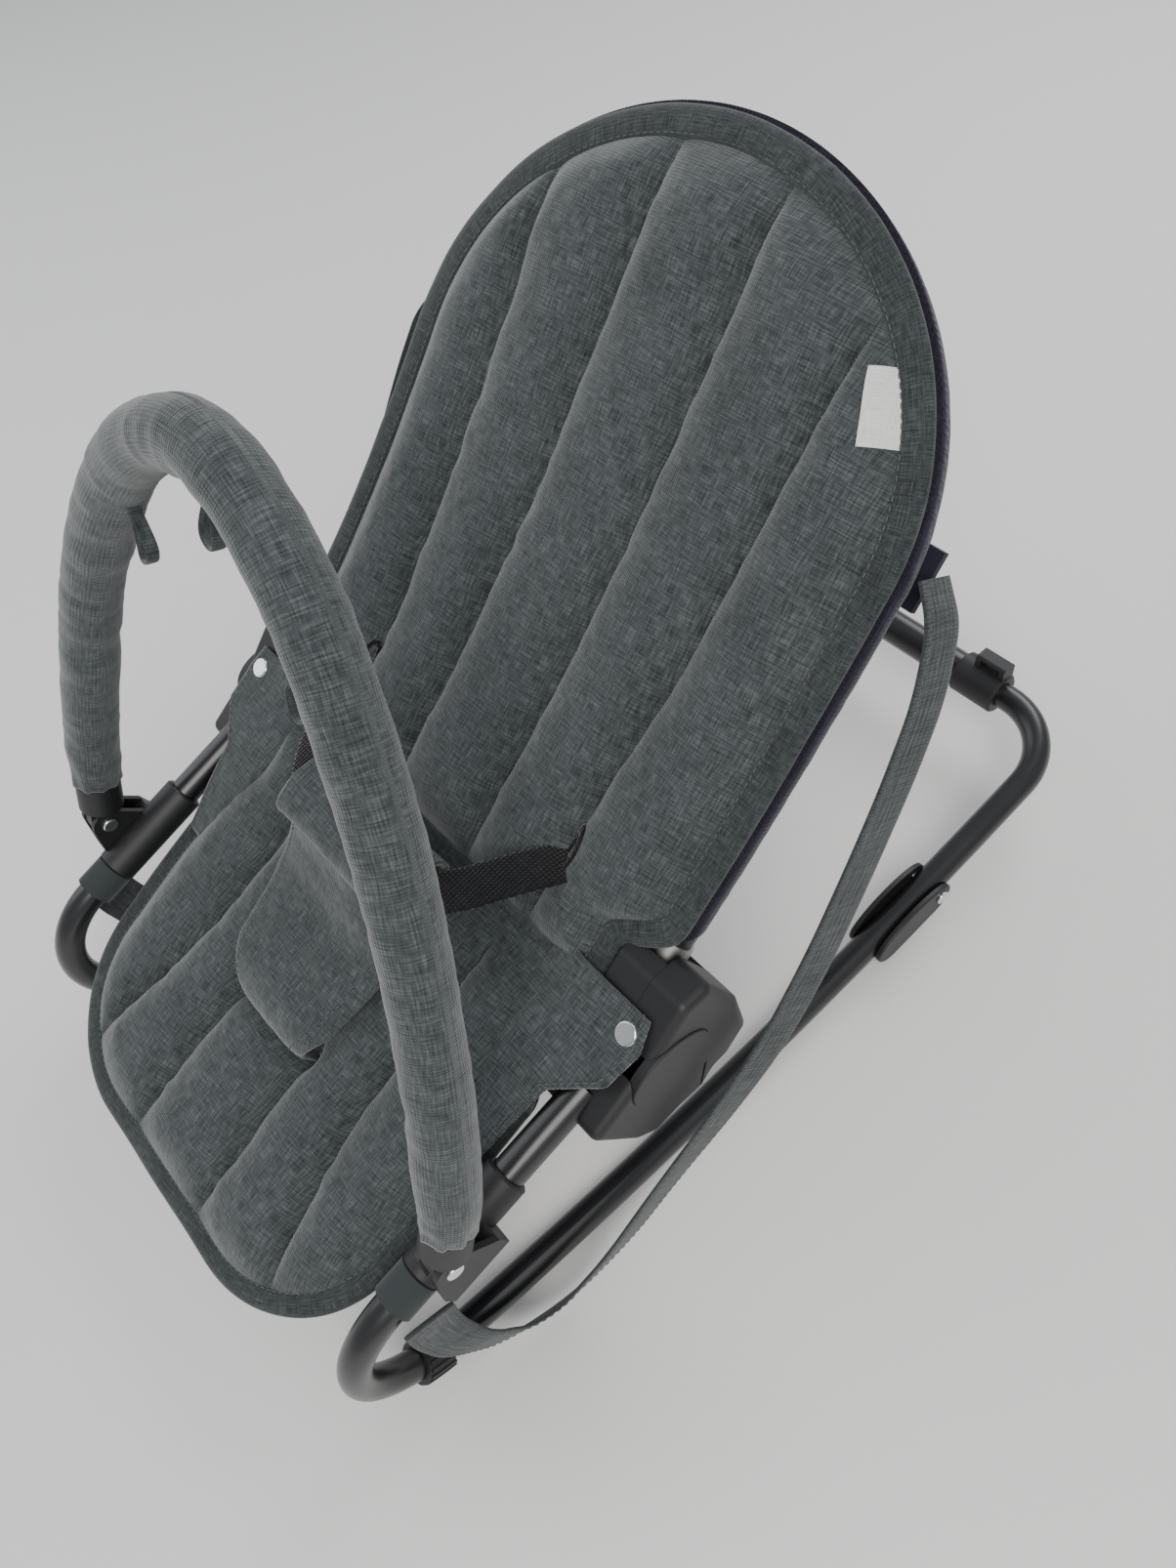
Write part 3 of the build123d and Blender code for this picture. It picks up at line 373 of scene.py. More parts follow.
def build_materials():
    cloth = bpy.context.scene.bouncer_cloth
    hard = bpy.context.scene.bouncer_hard
    dark, mid, light = (tuple(c) for c in (cloth.dark, cloth.mid, cloth.light))
    threads = 1 / cloth.thread
    MATERIALS["melange"] = woven("melange_cloth", dark, mid, light, threads)
    MATERIALS["melange_cad"] = woven("melange_cloth_cad", dark, mid, light, threads, "Object")
    trim = [tuple(v * 0.72 for v in c) for c in (dark, mid, light)]
    MATERIALS["binding"] = woven("binding_cloth", *trim, threads * 1.3, sheen=0.25)
    MATERIALS["strap"] = woven("strap_cloth", *trim, threads * 0.8, sheen=0.2)
    navy = tuple(cloth.liner)
    shades = [tuple(v * k for v in navy) for k in (0.55, 1.0, 1.7)]
    MATERIALS["liner"] = woven("liner_cloth", *shades, threads * 0.6, sheen=0.15, bump=0.9)
    black = [(0.004, 0.004, 0.005), (0.009, 0.009, 0.01), (0.02, 0.02, 0.022)]
    MATERIALS["webbing"] = woven("black_webbing", *black, threads * 0.7, "Object", bump=1.0)
    MATERIALS["label"] = woven(
        "label_cloth", (0.6, 0.6, 0.58), (0.75, 0.75, 0.73), (0.85, 0.85, 0.83), threads * 1.5
    )
    MATERIALS["thread"] = coated("seam_thread", tuple(v * 1.5 for v in mid), 0.7, 3000, 0.0002)
    MATERIALS["black_tube"] = coated(
        "satin_black_tube", tuple(hard.tube), 0.33, 1400, 0.00005, coat=0.35
    )
    MATERIALS["black_plastic"] = coated("grained_black_plastic", tuple(hard.plastic), 0.5, 2200, 0.0002)
    MATERIALS["bright"] = coated("bright_rivet", (0.8, 0.8, 0.79), 0.2, 900, 0.00003, 1.0)
    MATERIALS["zinc"] = coated("zinc_steel", (0.5, 0.5, 0.47), 0.38, 700, 0.0001, 1.0)


SLOTS = {
    "black_tube": "black_tube",
    "steel_tube": "zinc",
    "black_plastic": "black_plastic",
    "bright_rivet": "bright",
    "zinc_steel": "zinc",
    "spring_steel": "zinc",
    "melange_fabric": "melange_cad",
    "navy_liner": "liner",
    "black_webbing": "webbing",
    "strap_fabric": "strap",
    "white_label": "label",
}


# ---- backrest -----------------------------------------------------------------------------------
def back_half_width(s):
    lower = 145 + (BACK_HALF_W - 145) * smooth(38, 64, s)
    arch = BACK_HALF_W * np.sqrt(np.clip(1 - ((s - BACK_ARCH_Y) / BACK_ARCH) ** 2, 0, 1))
    return np.where(s > BACK_ARCH_Y, arch, lower)


def back_edge_distance(x, s):
    """Distance inside the backrest's outline."""
    flat = back_half_width(s) - np.abs(x)
    up = np.maximum(s - BACK_ARCH_Y, 0)
    far = np.hypot(x, up) + 1e-6
    unit = np.sqrt((x / BACK_HALF_W) ** 2 + (up / BACK_ARCH) ** 2) + 1e-6
    radial = far * (1 / unit - 1)
    inside = np.where(s > BACK_ARCH_Y, radial, flat)
    return np.maximum(np.minimum(inside, s - BACK_START), 0)


def channel_profile(x, seams):
    """0 in a seam and 1 on the crown between two seams."""
    out = np.zeros_like(x)
    for a, b in zip(seams, seams[1:]):
        t = (2 * x - a - b) / np.maximum(b - a, 1e-6)
        here = (x >= a) & (x < b)
        out = np.where(here, (1 - np.clip(np.abs(t), 0, 1) ** 2.5) ** 0.55, out)
    return out


def back_seams(s):
    inner = 35 + 0 * s
    outer = np.interp(s, [0, 112, 152, 292, 340, 363], [88, 93, 97, 103, 106, 107])
    far = back_half_width(np.minimum(s, BACK_ARCH_Y)) - 10
    return [-far, -outer, -inner, inner, outer, far]


def back_grid(rows=250, cols=250):
    rise = np.linspace(0, 1, int(rows * 0.62))
    lower = BACK_START + (BACK_ARCH_Y - BACK_START) * rise
    arch = BACK_ARCH_Y + BACK_ARCH * np.sin(np.linspace(0, math.pi / 2, rows - len(lower) + 1)[1:])
    s = np.concatenate([lower, arch])[:, None] * np.ones((1, cols))
    u = np.sin(np.linspace(-1, 1, cols) * math.pi / 2 * 0.92) / math.sin(math.pi / 2 * 0.92)
    x = u[None, :] * back_half_width(s)
    return x, s


def back_surface(x, s):
    """Height of the quilted front over the chord."""
    crown = bpy.context.scene.bouncer_cloth.crown / MM
    d = back_edge_distance(x, s)
    border = 1 - (1 - np.clip((d - 13) / 34, 0, 1)) ** 2.4
    channels = channel_profile(x, back_seams(s))
    puckers = fbm(x, s, 26, 3) * 1.1 + value_noise(x / 42, s / 8.5, 9) * 1.9 * (1 - channels)
    soft = fbm(x * 0.6, s, 70, 21, 2) * 1.6
    quilt = (crown * channels + (puckers + soft) * np.clip(channels + 0.35, 0, 1)) * border
    return bow(s) + 16.5 + quilt


def build_back_pad():
    x, s = back_grid()
    d = back_edge_distance(x, s)
    front = back_surface(x, s)
    edge = bow(s) + 15.5
    lip = 1 - (1 - np.clip(d / 3.5, 0, 1)) ** 2
    front = edge + (front - edge) * np.sqrt(lip)
    under = edge - 5.0 * np.sqrt(1 - (1 - np.clip(d / 6, 0, 1)) ** 2)
    uv = np.stack([x, s], -1) * MM
    grids = on_back(x, s, front), on_back(x, s, under)
    pad = closed_pad("quilted_backrest", *grids, uv, MATERIALS["melange"])
    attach(pad, "backrest")
    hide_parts("backrest_pad")


def back_outline(inset, count=420, start=12.0):
    """Points of the outline, inset, from the right-hand hub round the top to the left-hand one."""
    s = np.linspace(start, BACK_ARCH_Y, 60)
    right = np.stack([back_half_width(s) - inset, s], 1)
    w = np.linspace(0, math.pi, 160)[1:-1]
    arch = np.stack([(BACK_HALF_W - inset) * np.cos(w), BACK_ARCH_Y + (BACK_ARCH - inset) * np.sin(w)], 1)
    left = right[::-1] * np.array([-1, 1])
    return resample(np.concatenate([right, arch, left]), count)


def back_normal():
    a = math.radians(BACK_TILT)
    return np.array([0, -math.sin(a), math.cos(a)])


def build_back_binding():
    line = back_outline(7.5)
    wave = fbm(line[:, 0], line[:, 1], 45, 5, 2) * 0.6
    points = on_back(line[:, 0], line[:, 1], bow(line[:, 1]) + 15.8 + wave)
    along, round_it = np.meshgrid(np.linspace(0, 60, len(line)), np.arange(20) * 0.3, indexing="ij")
    wobble = 0.03 * value_noise(along, round_it, 4)
    cloth = MATERIALS["binding"]
    band = tube_along("backrest_binding", points, back_normal(), 8.2, 3.3, cloth, 20, 0.75, wobble)
    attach(band, "backrest")
    inner = back_outline(13.2)
    seat = on_back(inner[:, 0], inner[:, 1], bow(inner[:, 1]) + 18.6)
    row = stitches("backrest_binding_stitches", seat, back_normal(), MATERIALS["thread"])
    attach(row, "backrest")


def build_back_seams():
    """Thread rows that lie in the bottoms of the four channel seams."""
    s = np.linspace(30, 352, 300)
    for index, sign in ((2, -1), (3, 1), (1, -1), (4, 1)):
        line = back_seams(s)[index]
        inside = back_edge_distance(line, s) > 20
        x, along = line[inside], s[inside]
        height = back_surface(x + 0.01 * sign, along)
        points = on_back(x, along, height - 0.2)
        name = f"channel_stitches_{index}"
        row = stitches(name, points, back_normal(), MATERIALS["thread"], 3.6, 2.6, 0.1)
        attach(row, "backrest")


def build_back_liner():
    """Rear cover that wraps round the tube, and the ribbed side wall up to the binding."""
    x, s = back_grid(170, 200)
    d = back_edge_distance(x, s)
    x, s = x * 1.013, s + 0.022 * np.maximum(s - BACK_ARCH_Y, 0)
    wall = np.sqrt(1 - (1 - np.clip(d / 13, 0, 1)) ** 2)
    ribs = value_noise(x / 90, s / 5.0, 12) * 0.7 + fbm(x, s, 40, 17) * 0.8
    low = bow(s) + 13 - 25.2 * wall
    low = low - np.clip(ribs, -1.2, 1.2) * wall
    high = bow(s) + 13 - 2.0 * wall
    uv = np.stack([x, s], -1) * MM
    grids = on_back(x, s, high), on_back(x, s, low)
    liner = closed_pad("backrest_rear_cover", *grids, uv, MATERIALS["liner"])
    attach(liner, "backrest")
    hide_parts("backrest_liner")


def build_belt_slots():
    """Bound openings in the outer seams that the waist webbing goes into."""
    for sign, name in ((1, "right"), (-1, "left")):
        w = np.linspace(0, 2 * math.pi, 60)
        x = sign * (BELT_SLOT_X + 3.4 * np.cos(w))
        s = BELT_SLOT_Y + BELT_SLOT_HALF * np.sin(w)
        points = on_back(x, s, back_surface(x, s) + 0.4)
        edge = tube_along(f"{name}_belt_slot", points, back_normal(), 1.7, 1.5, MATERIALS["webbing"], 10)
        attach(edge, "backrest")


def build_label():
    w, h = LABEL_HALF
    u, v = np.meshgrid(np.linspace(-w, w, 12), np.linspace(-h, h, 20))
    turn = math.radians(LABEL_TURN)
    x = LABEL_X + u * math.cos(turn) - v * math.sin(turn)
    s = LABEL_Y + u * math.sin(turn) + v * math.cos(turn)
    lift = back_surface(x, s) + 1.3
    front = on_back(x, s, lift)
    back = on_back(x, s, lift - 0.6)
    uv = np.stack([u, v], -1) * MM
    label = closed_pad("woven_side_label", front, back, uv, MATERIALS["label"])
    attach(label, "backrest")
    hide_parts("side_label")


# ---- seat ---------------------------------------------------------------------------------------
def seat_half_width(t):
    rear = 143 + 13 * smooth(10, 40, t)
    body = np.interp(t, [-30, 60, 100, 150, 240], [156, 156, 156, 153, 150]) - 156
    into = np.clip((t - (SEAT_END - SEAT_CORNER)) / SEAT_CORNER, 0, 1)
    trim = SEAT_CORNER * (1 - np.sqrt(1 - into**2))
    return rear + body - trim


def seat_edge_distance(x, t):
    half = seat_half_width(np.minimum(t, SEAT_END - SEAT_CORNER))
    dx = np.maximum(np.abs(x) - (half - SEAT_CORNER), 0)
    dt = np.maximum(t - (SEAT_END - SEAT_CORNER), 0)
    front = SEAT_CORNER - np.hypot(dx, dt)
    flat = half - np.abs(x)
    inside = np.where(t > SEAT_END - SEAT_CORNER, np.minimum(front, SEAT_END - t), flat)
    return np.maximum(np.minimum(inside, t - SEAT_START), 0)


def seat_seams(t):
    inner = np.interp(t, [-30, 109, 240], [34, 34, 37])
    outer = np.interp(t, [-30, 99, 151, 240], [82, 80, 89, 110])
    far = seat_half_width(np.minimum(t, 146)) - 9
    return [-far, -outer, -inner, inner, outer, far]


def seat_surface(x, t):
    crown = bpy.context.scene.bouncer_cloth.crown / MM
    d = seat_edge_distance(x, t)
    border = 1 - (1 - np.clip((d - 11) / 32, 0, 1)) ** 2.2
    channels = channel_profile(x, seat_seams(t))
    puckers = fbm(x, t, 24, 33) * 1.2 + value_noise(x / 42, t / 8, 39) * 1.7 * (1 - channels)
    slot = np.exp(-((t - 109) / 9.0) ** 2) * smooth(46, 30, np.abs(x)) * 15
    quilt = (crown * 1.05 * channels + puckers) * border
    return 7.5 + quilt * (1 - 0.45 * smooth(20, -25, t)) - slot + 10 * smooth(45, -31, t)


def seat_grid(rows, cols):
    lower = np.linspace(SEAT_START, SEAT_END - SEAT_CORNER, int(rows * 0.6))
    turn = np.linspace(0, math.pi / 2, rows - len(lower) + 1)[1:]
    front = SEAT_END - SEAT_CORNER + SEAT_CORNER * np.sin(turn)
    t = np.concatenate([lower, front])[:, None] * np.ones((1, cols))
    u = np.sin(np.linspace(-1, 1, cols) * math.pi / 2 * 0.9) / math.sin(math.pi / 2 * 0.9)
    return u[None, :] * seat_half_width(t), t


def seat_normal():
    a = math.radians(SEAT_TILT)
    return np.array([0, -math.sin(a), math.cos(a)])


def build_seat_pad():
    x, t = seat_grid(200, 230)
    d = seat_edge_distance(x, t)
    edge = 5.0 + 9 * smooth(45, -31, t)
    lip = np.sqrt(1 - (1 - np.clip(d / 4, 0, 1)) ** 2)
    front = edge + (seat_surface(x, t) - edge) * lip
    under = edge - 4.0 * lip
    uv = np.stack([x, t], -1) * MM + 0.013
    pad = closed_pad("quilted_seat", on_seat(x, t, front), on_seat(x, t, under), uv, MATERIALS["melange"])
    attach(pad, "base")
    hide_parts("seat_pad")


def seat_outline(inset, count=360, start=40.0):
    t = np.linspace(start, SEAT_END - SEAT_CORNER, 40)
    right = np.stack([seat_half_width(t) - inset, t], 1)
    half = seat_half_width(np.array([SEAT_END - SEAT_CORNER]))[0]
    w = np.linspace(0, math.pi / 2, 40)[1:]
    r = SEAT_CORNER - inset
    bend = np.stack([half - SEAT_CORNER + r * np.cos(w), SEAT_END - SEAT_CORNER + r * np.sin(w)], 1)
    half_line = np.concatenate([right, bend])
    return resample(np.concatenate([half_line, half_line[::-1] * np.array([-1, 1])]), count)


def build_seat_binding():
    line = seat_outline(6.5)
    wave = fbm(line[:, 0], line[:, 1], 40, 45, 2) * 0.5
    points = on_seat(line[:, 0], line[:, 1], 5.6 + wave)
    band = tube_along("seat_binding", points, seat_normal(), 7.2, 3.2, MATERIALS["binding"], 20, 0.75)
    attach(band, "base")
    inner = seat_outline(11.6)
    row = stitches(
        "seat_binding_stitches", on_seat(inner[:, 0], inner[:, 1], 8.3), seat_normal(), MATERIALS["thread"]
    )
    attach(row, "base")


def build_seat_liner():
    x, t = seat_grid(120, 150)
    x = x * 0.992
    d = seat_edge_distance(x / 0.992, t)
    wall = np.sqrt(1 - (1 - np.clip(d / 10, 0, 1)) ** 2)
    ribs = value_noise(x / 80, t / 6, 52) * 0.6 + fbm(x, t, 40, 57) * 0.8
    low = 3.0 - 13.0 * wall - np.clip(ribs, -1.2, 1.2) * wall
    high = 3.0 - 2.5 * wall
    uv = np.stack([x, t], -1) * MM
    liner = closed_pad("seat_rear_cover", on_seat(x, t, high), on_seat(x, t, low), uv, MATERIALS["liner"])
    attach(liner, "base")
    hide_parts("seat_liner")


def build_hip_flaps():
    """Double cloth from the seat's side up over the hub, held by the press stud."""
    path = [(-84, 148), (-48, 174), (-20, 189.5), (4, 198.2), (21.5, 212.2)]
    rows, cols = 60, 60
    line = resample(filleted([np.array([0, *p]) for p in path])[:, 1:], rows)
    f = np.linspace(0, 1, rows)
    outer = np.interp(line[:, 0], [-84, -34, -14, 8, 22], [152, 161, 185, 188, 183])
    inner = np.interp(f, [0, 0.3, 1], [104, 106, 112])
    tangent = np.gradient(line, axis=0)
    tangent /= np.linalg.norm(tangent, axis=1)[:, None]
    normal = np.stack([-tangent[:, 1], tangent[:, 0]], 1)
    u = np.linspace(0, 1, cols)
    x = inner[:, None] + (outer - inner)[:, None] * u[None, :]
    puff = np.sin(np.clip(u, 0, 1) * math.pi) ** 0.6 * 2.4 - 9 * smooth(0.35, 0, u)
    edge = np.minimum.outer(np.minimum(f, 1 - f) * rows, np.ones(cols) * 9) / 9
    edge = np.minimum(edge, np.minimum(u, 1 - u)[None, :] * cols / 3)
    edge = np.sqrt(np.clip(edge, 0, 1))
    wrinkle = fbm(x, line[:, :1] + 0 * x, 15, 61) * 0.5
    half = 1.1 * edge
    for sign, name in ((1, "right"), (-1, "left")):
        top = puff[None, :] * 0.5 + wrinkle + half
        low = puff[None, :] * 0.5 + wrinkle - half
        grids = []
        for lift in (top, low):
            y = line[:, :1] + normal[:, :1] * lift
            z = line[:, 1:] + normal[:, 1:] * lift
            grids.append(side(sign * x, y, z))
        uv = np.stack([x, line[:, :1] + 0 * x], -1) * MM
        flap = closed_pad(f"{name}_hip_cloth", grids[0], grids[1], uv, MATERIALS["melange"])
        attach(flap, "base")
        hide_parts(f"{name}_hip_flap")
        trim = np.stack([0 * f + 1, line[:, 0], line[:, 1]], 1)
        trim[:, 0] = outer - 4
        trim[:, 1:] += normal * 2.2
        pts = side(sign * trim[:, 0], trim[:, 1], trim[:, 2])
        row = stitches(f"{name}_hip_stitches", pts, np.array([0, -0.6, 0.8]), MATERIALS["thread"])
        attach(row, "base")


# ---- crotch pad and waist belt ------------------------------------------------------------------
BELT_CENTRE = (-22.5, 231.4)
BELT_SLOPE = 11.3
WAIST_ROUTE = [
    (22, -22.5, 231.6),
    (54, -22, 231.8),
    (69, -5, 234.5),
    (85, 22, 238.5),
    (94, 40, 237),
    (98, 54, 230),
]


def build_crotch_pad():
    rows, cols = 110, 90
    route = [(0, 113, -6), (0, 111, 22), (0, 96, 30.5), (0, 40, 33), (0, 14, 50), (0, 4, 60)]
    line = resample(filleted(route)[:, 1:], rows)
    f = np.linspace(0, 1, rows)
    half = np.interp(f, [0, 0.18, 0.36, 0.7, 1], [33, 34, 48, 55, 50])
    tangent = np.gradient(line, axis=0)
    tangent /= np.linalg.norm(tangent, axis=1)[:, None]
    normal = np.stack([-tangent[:, 1], tangent[:, 0]], 1)
    if normal[rows // 2, 1] < 0:
        normal = -normal
    u = np.linspace(-1, 1, cols)
    x = half[:, None] * u[None, :]
    edge = np.sqrt(np.clip(1 - np.abs(u) ** 4, 0, 1))[None, :] * np.ones((rows, 1))
    ends = np.sqrt(np.clip(np.minimum(f, 1 - f) * 30, 0, 1))[:, None]
    thick = 4.8 * edge * ends
    along = f[:, None] * 160 + 0 * x
    wrinkle = fbm(x, along, 22, 71) * 0.8 * edge
    grids = []
    for lift in (thick + wrinkle, -thick * 0.7):
        grids.append(on_seat(x, line[:, :1] + normal[:, :1] * lift, line[:, 1:] + normal[:, 1:] * lift))
    uv = np.stack([x, along], -1) * MM
    pad = closed_pad("crotch_tongue", grids[0], grids[1], uv, MATERIALS["melange"])
    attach(pad, "base")
    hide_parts("crotch_pad")
    for sign in (1, -1):
        pts = on_seat(sign * (half - 8), line[:, 0] + normal[:, 0] * 4.9, line[:, 1] + normal[:, 1] * 4.9)
        row = stitches(f"crotch_stitches_{sign + 1}", pts[20:-4], seat_normal(), MATERIALS["thread"])
        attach(row, "base")


def build_belt_tunnel():
    cols, around = 90, 64
    x = np.linspace(-52, 52, cols)
    w = np.linspace(0, 2 * math.pi, around, endpoint=False)
    flare = 1 + 0.05 * (np.abs(x) / 52) ** 6
    a = math.radians(BELT_SLOPE)
    shells = []
    for inset in (0.0, 2.6):
        oy = (22 - inset) * np.cos(w)[None, :] * flare[:, None]
        oz = (13 - inset) * np.sign(np.sin(w)) * np.abs(np.sin(w)) ** 0.9
        oz = oz[None, :] * flare[:, None]
        bump = fbm(x[:, None] + 0 * oy, 22 * w[None, :] + 0 * oy, 18, 83) * 0.7
        oz = oz + bump * np.sign(oz + 1e-9) * (0.3 if inset else 1)
        y = BELT_CENTRE[0] + oy * math.cos(a) - oz * math.sin(a)
        z = BELT_CENTRE[1] + oy * math.sin(a) + oz * math.cos(a)
        shells.append(side(x[:, None] + 0 * y, y, z))
    verts = np.concatenate([s.reshape(-1, 3) for s in shells])
    faces = grid_faces(cols, around, wrap=True) + grid_faces(cols, around, cols * around, True, True)
    for row in (0, cols - 1):
        for j in range(around):
            k = (j + 1) % around
            a0, b0 = row * around, cols * around + row * around
            faces.append([a0 + j, a0 + k, b0 + k, b0 + j])
    uv = np.stack([x[:, None] + 0 * w[None, :], 18 * w[None, :] + 0 * x[:, None]], -1).reshape(-1, 2) * MM
    tunnel = make_object("belt_sleeve", verts, faces, np.concatenate([uv, uv]), MATERIALS["melange"])
    weld(tunnel, 0.00001)
    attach(tunnel, "base")
    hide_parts("belt_tunnel")
    for sign in (1, -1):
        v = np.linspace(-0.2, math.pi + 0.2, 60)
        oy, oz = 22.5 * np.cos(v), 13.6 * np.sin(v)
        y = BELT_CENTRE[0] + oy * math.cos(a) - oz * math.sin(a)
        z = BELT_CENTRE[1] + oy * math.sin(a) + oz * math.cos(a)
        pts = side(sign * 46.0 + 0 * y, y, z)
        row = stitches(f"belt_sleeve_hem_{sign + 1}", pts, np.array([0, -0.2, 1.0]), MATERIALS["thread"])
        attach(row, "base")


def build_waist_straps():
    """Webbing from the buckle out of the sleeve and into the slots in the backrest."""
    for sign, name in ((1, "right"), (-1, "left")):
        line = resample(filleted([np.array(p, dtype=float) for p in WAIST_ROUTE]), 70)
        points = side(sign * line[:, 0], line[:, 1], line[:, 2])
        cloth = MATERIALS["webbing"]
        strap = tube_along(f"{name}_waist_webbing", points, (0, -0.25, 1), 12.3, 0.9, cloth, 16, 0.5)
        tuple(side(0, 0, 234))
        tuple(side(0, 34, 244))
        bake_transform(strap)
        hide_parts(f"{name}_waist_strap")


# ---- toy bar ------------------------------------------------------------------------------------
BAR_ROUTE = [(184, 16), (184, 48), (171, 110), (147, 184), (113, 252), (64, 313), (0, 343)]


def build_toy_bar_sleeve():
    route = BAR_ROUTE + [(-x, y) for x, y in reversed(BAR_ROUTE[:-1])]
    line = filleted([np.array([x, y, 0.0]) for x, y in route])
    line = resample(line, 520)
    keep = line[:, 1] > 31.5
    line = line[keep]
    points = on_bar(line[:, 0], line[:, 1], line[:, 2])
    count, around = len(line), 40
    f = np.linspace(0, 1, count)[:, None]
    w = np.linspace(0, 2 * math.pi, around, endpoint=False)[None, :]
    lobes = value_noise(f * 46 + 0 * w, 1.5 * np.cos(w) + 4, 91) * 0.075 * (0.55 - 0.45 * np.cos(w))
    fine = value_noise(f * 120 + 0 * w, 2 * np.sin(w) + 9, 95) * 0.02
    end = np.minimum(f, 1 - f)
    gather = 1 - smooth(0.0, 0.03, end)
    scallop = gather * (0.045 * np.sin(9 * w) - 0.10 + 0.02 * np.sin(17 * w))
    wobble = lobes + fine + scallop
    a = math.radians(BAR_TILT)
    sleeve = tube_along(
        "padded_bar_sleeve",
        points,
        (0, -math.sin(a), math.cos(a)),
        15.6,
        15.6,
        MATERIALS["melange"],
        around,
        1.0,
        wobble,
    )
    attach(sleeve, "toy_bar")
    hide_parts("toy_bar_sleeve")
    seam = on_bar(line[20:-20, 0], line[20:-20, 1], np.full(count - 40, -15.4))
    row = stitches("bar_sleeve_seam", seam, np.array([0, math.sin(a), -math.cos(a)]), MATERIALS["thread"])
    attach(row, "toy_bar")


def build_toy_loops():
    """Three sewn cloth loops that hang straight down from the sleeve."""
    hangs = [(-71, 267, 40), (0, 311, 0), (71, 267, -40)]
    normal = on_bar(0, 0, 1.0) - on_bar(0, 0, 0.0)
    for index, (x, t, turn) in enumerate(hangs):
        turn = math.radians(turn)
        v = np.linspace(0, 1, 48)
        across = 7.5 * np.sin(2 * math.pi * v) * (1 - 0.2 * np.cos(2 * math.pi * v))
        drop = 33 * np.sin(math.pi * v) ** 0.75 - 17
        px = x + across * math.cos(turn) + drop * math.sin(turn)
        pt = t + across * math.sin(turn) - drop * math.cos(turn)
        pts = on_bar(px, pt, 0 * px + 1.5 * np.sin(v * 5))
        cloth = MATERIALS["binding"]
        loop = tube_along(f"toy_loop_{index + 1}", pts, normal * 1000, 0.9, 3.2, cloth, 12, 0.6)
        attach(loop, "toy_bar")
        if index == 0:
            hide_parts("toy_loops")


# ---- carry straps -------------------------------------------------------------------------------
STRAP_ROUTE = [
    (176, 214, 366),
    (190, 206, 352),
    (199, 190, 322),
    (204, 168, 286),
    (207, 142, 240),
    (210, 112, 192),
    (213, 78, 152),
    (213, 36, 118),
    (210, -4, 84),
    (207, -44, 44),
    (203, -84, 20),
    (199, -118, 28),
    (193, -142, 60),
    (188, -148, 96),
    (188, -147, 122),
]


def build_carry_straps():
    for sign, name in ((1, "right"), (-1, "left")):
        line = resample(filleted([np.array(p, dtype=float) for p in STRAP_ROUTE]), 260)
        points = side(sign * line[:, 0], line[:, 1], line[:, 2])
        f = np.linspace(0, 1, len(line))
        twist = 0.35 * np.sin(f * 5.5) - 0.25 * smooth(0.12, 0, f)
        up = np.stack([sign * np.cos(twist), 0.2 * np.sin(twist * 2), np.sin(twist)], 1)
        strap = tube_along(f"{name}_carry_webbing", points, up, 14.6, 1.15, MATERIALS["strap"], 20, 0.45)
        tangent = np.gradient(points, axis=0)
        across = np.cross(tangent, up)
        across /= np.linalg.norm(across, axis=1)[:, None]
        rows = []
        for k, offset in enumerate((-11.5, 11.5)):
            row = stitches(
                f"{name}_strap_stitches_{k}",
                (points + across * offset * MM + up * 1.1 * MM)[4:-4],
                up[4:-4],
                MATERIALS["thread"],
                5.0,
                3.2,
                0.1,
            )
            rows.append(row)
        for piece in (strap, *rows):
            tuple(side(0, 40, 120))
            tuple(side(0, 190, 330))
            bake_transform(piece)
        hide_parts(f"{name}_carry_strap")


# ---- hard parts, stage --------------------------------------------------------------------------
def paint_frame():
    slots = {s["node"]: s["material_slot"] for s in frame["record"]["subparts"]}
    for node, obj in frame["nodes"].items():
        material = MATERIALS[SLOTS[slots[node]]]
        if not obj.material_slots:
            obj.data.materials.append(material)
        for entry in obj.material_slots:
            entry.material = material


def add_light(name, location, target, energy, size, colour=(1, 1, 1)):
    data = bpy.data.lights.new(name, "AREA")
    data.energy, data.size, data.color = energy, size, colour
    light = bpy.data.objects.new(name, data)
    light.location = location
    aim = Vector(target) - Vector(location)
    light.rotation_euler = aim.to_track_quat("-Z", "Y").to_euler()
    bpy.context.scene.collection.objects.link(light)


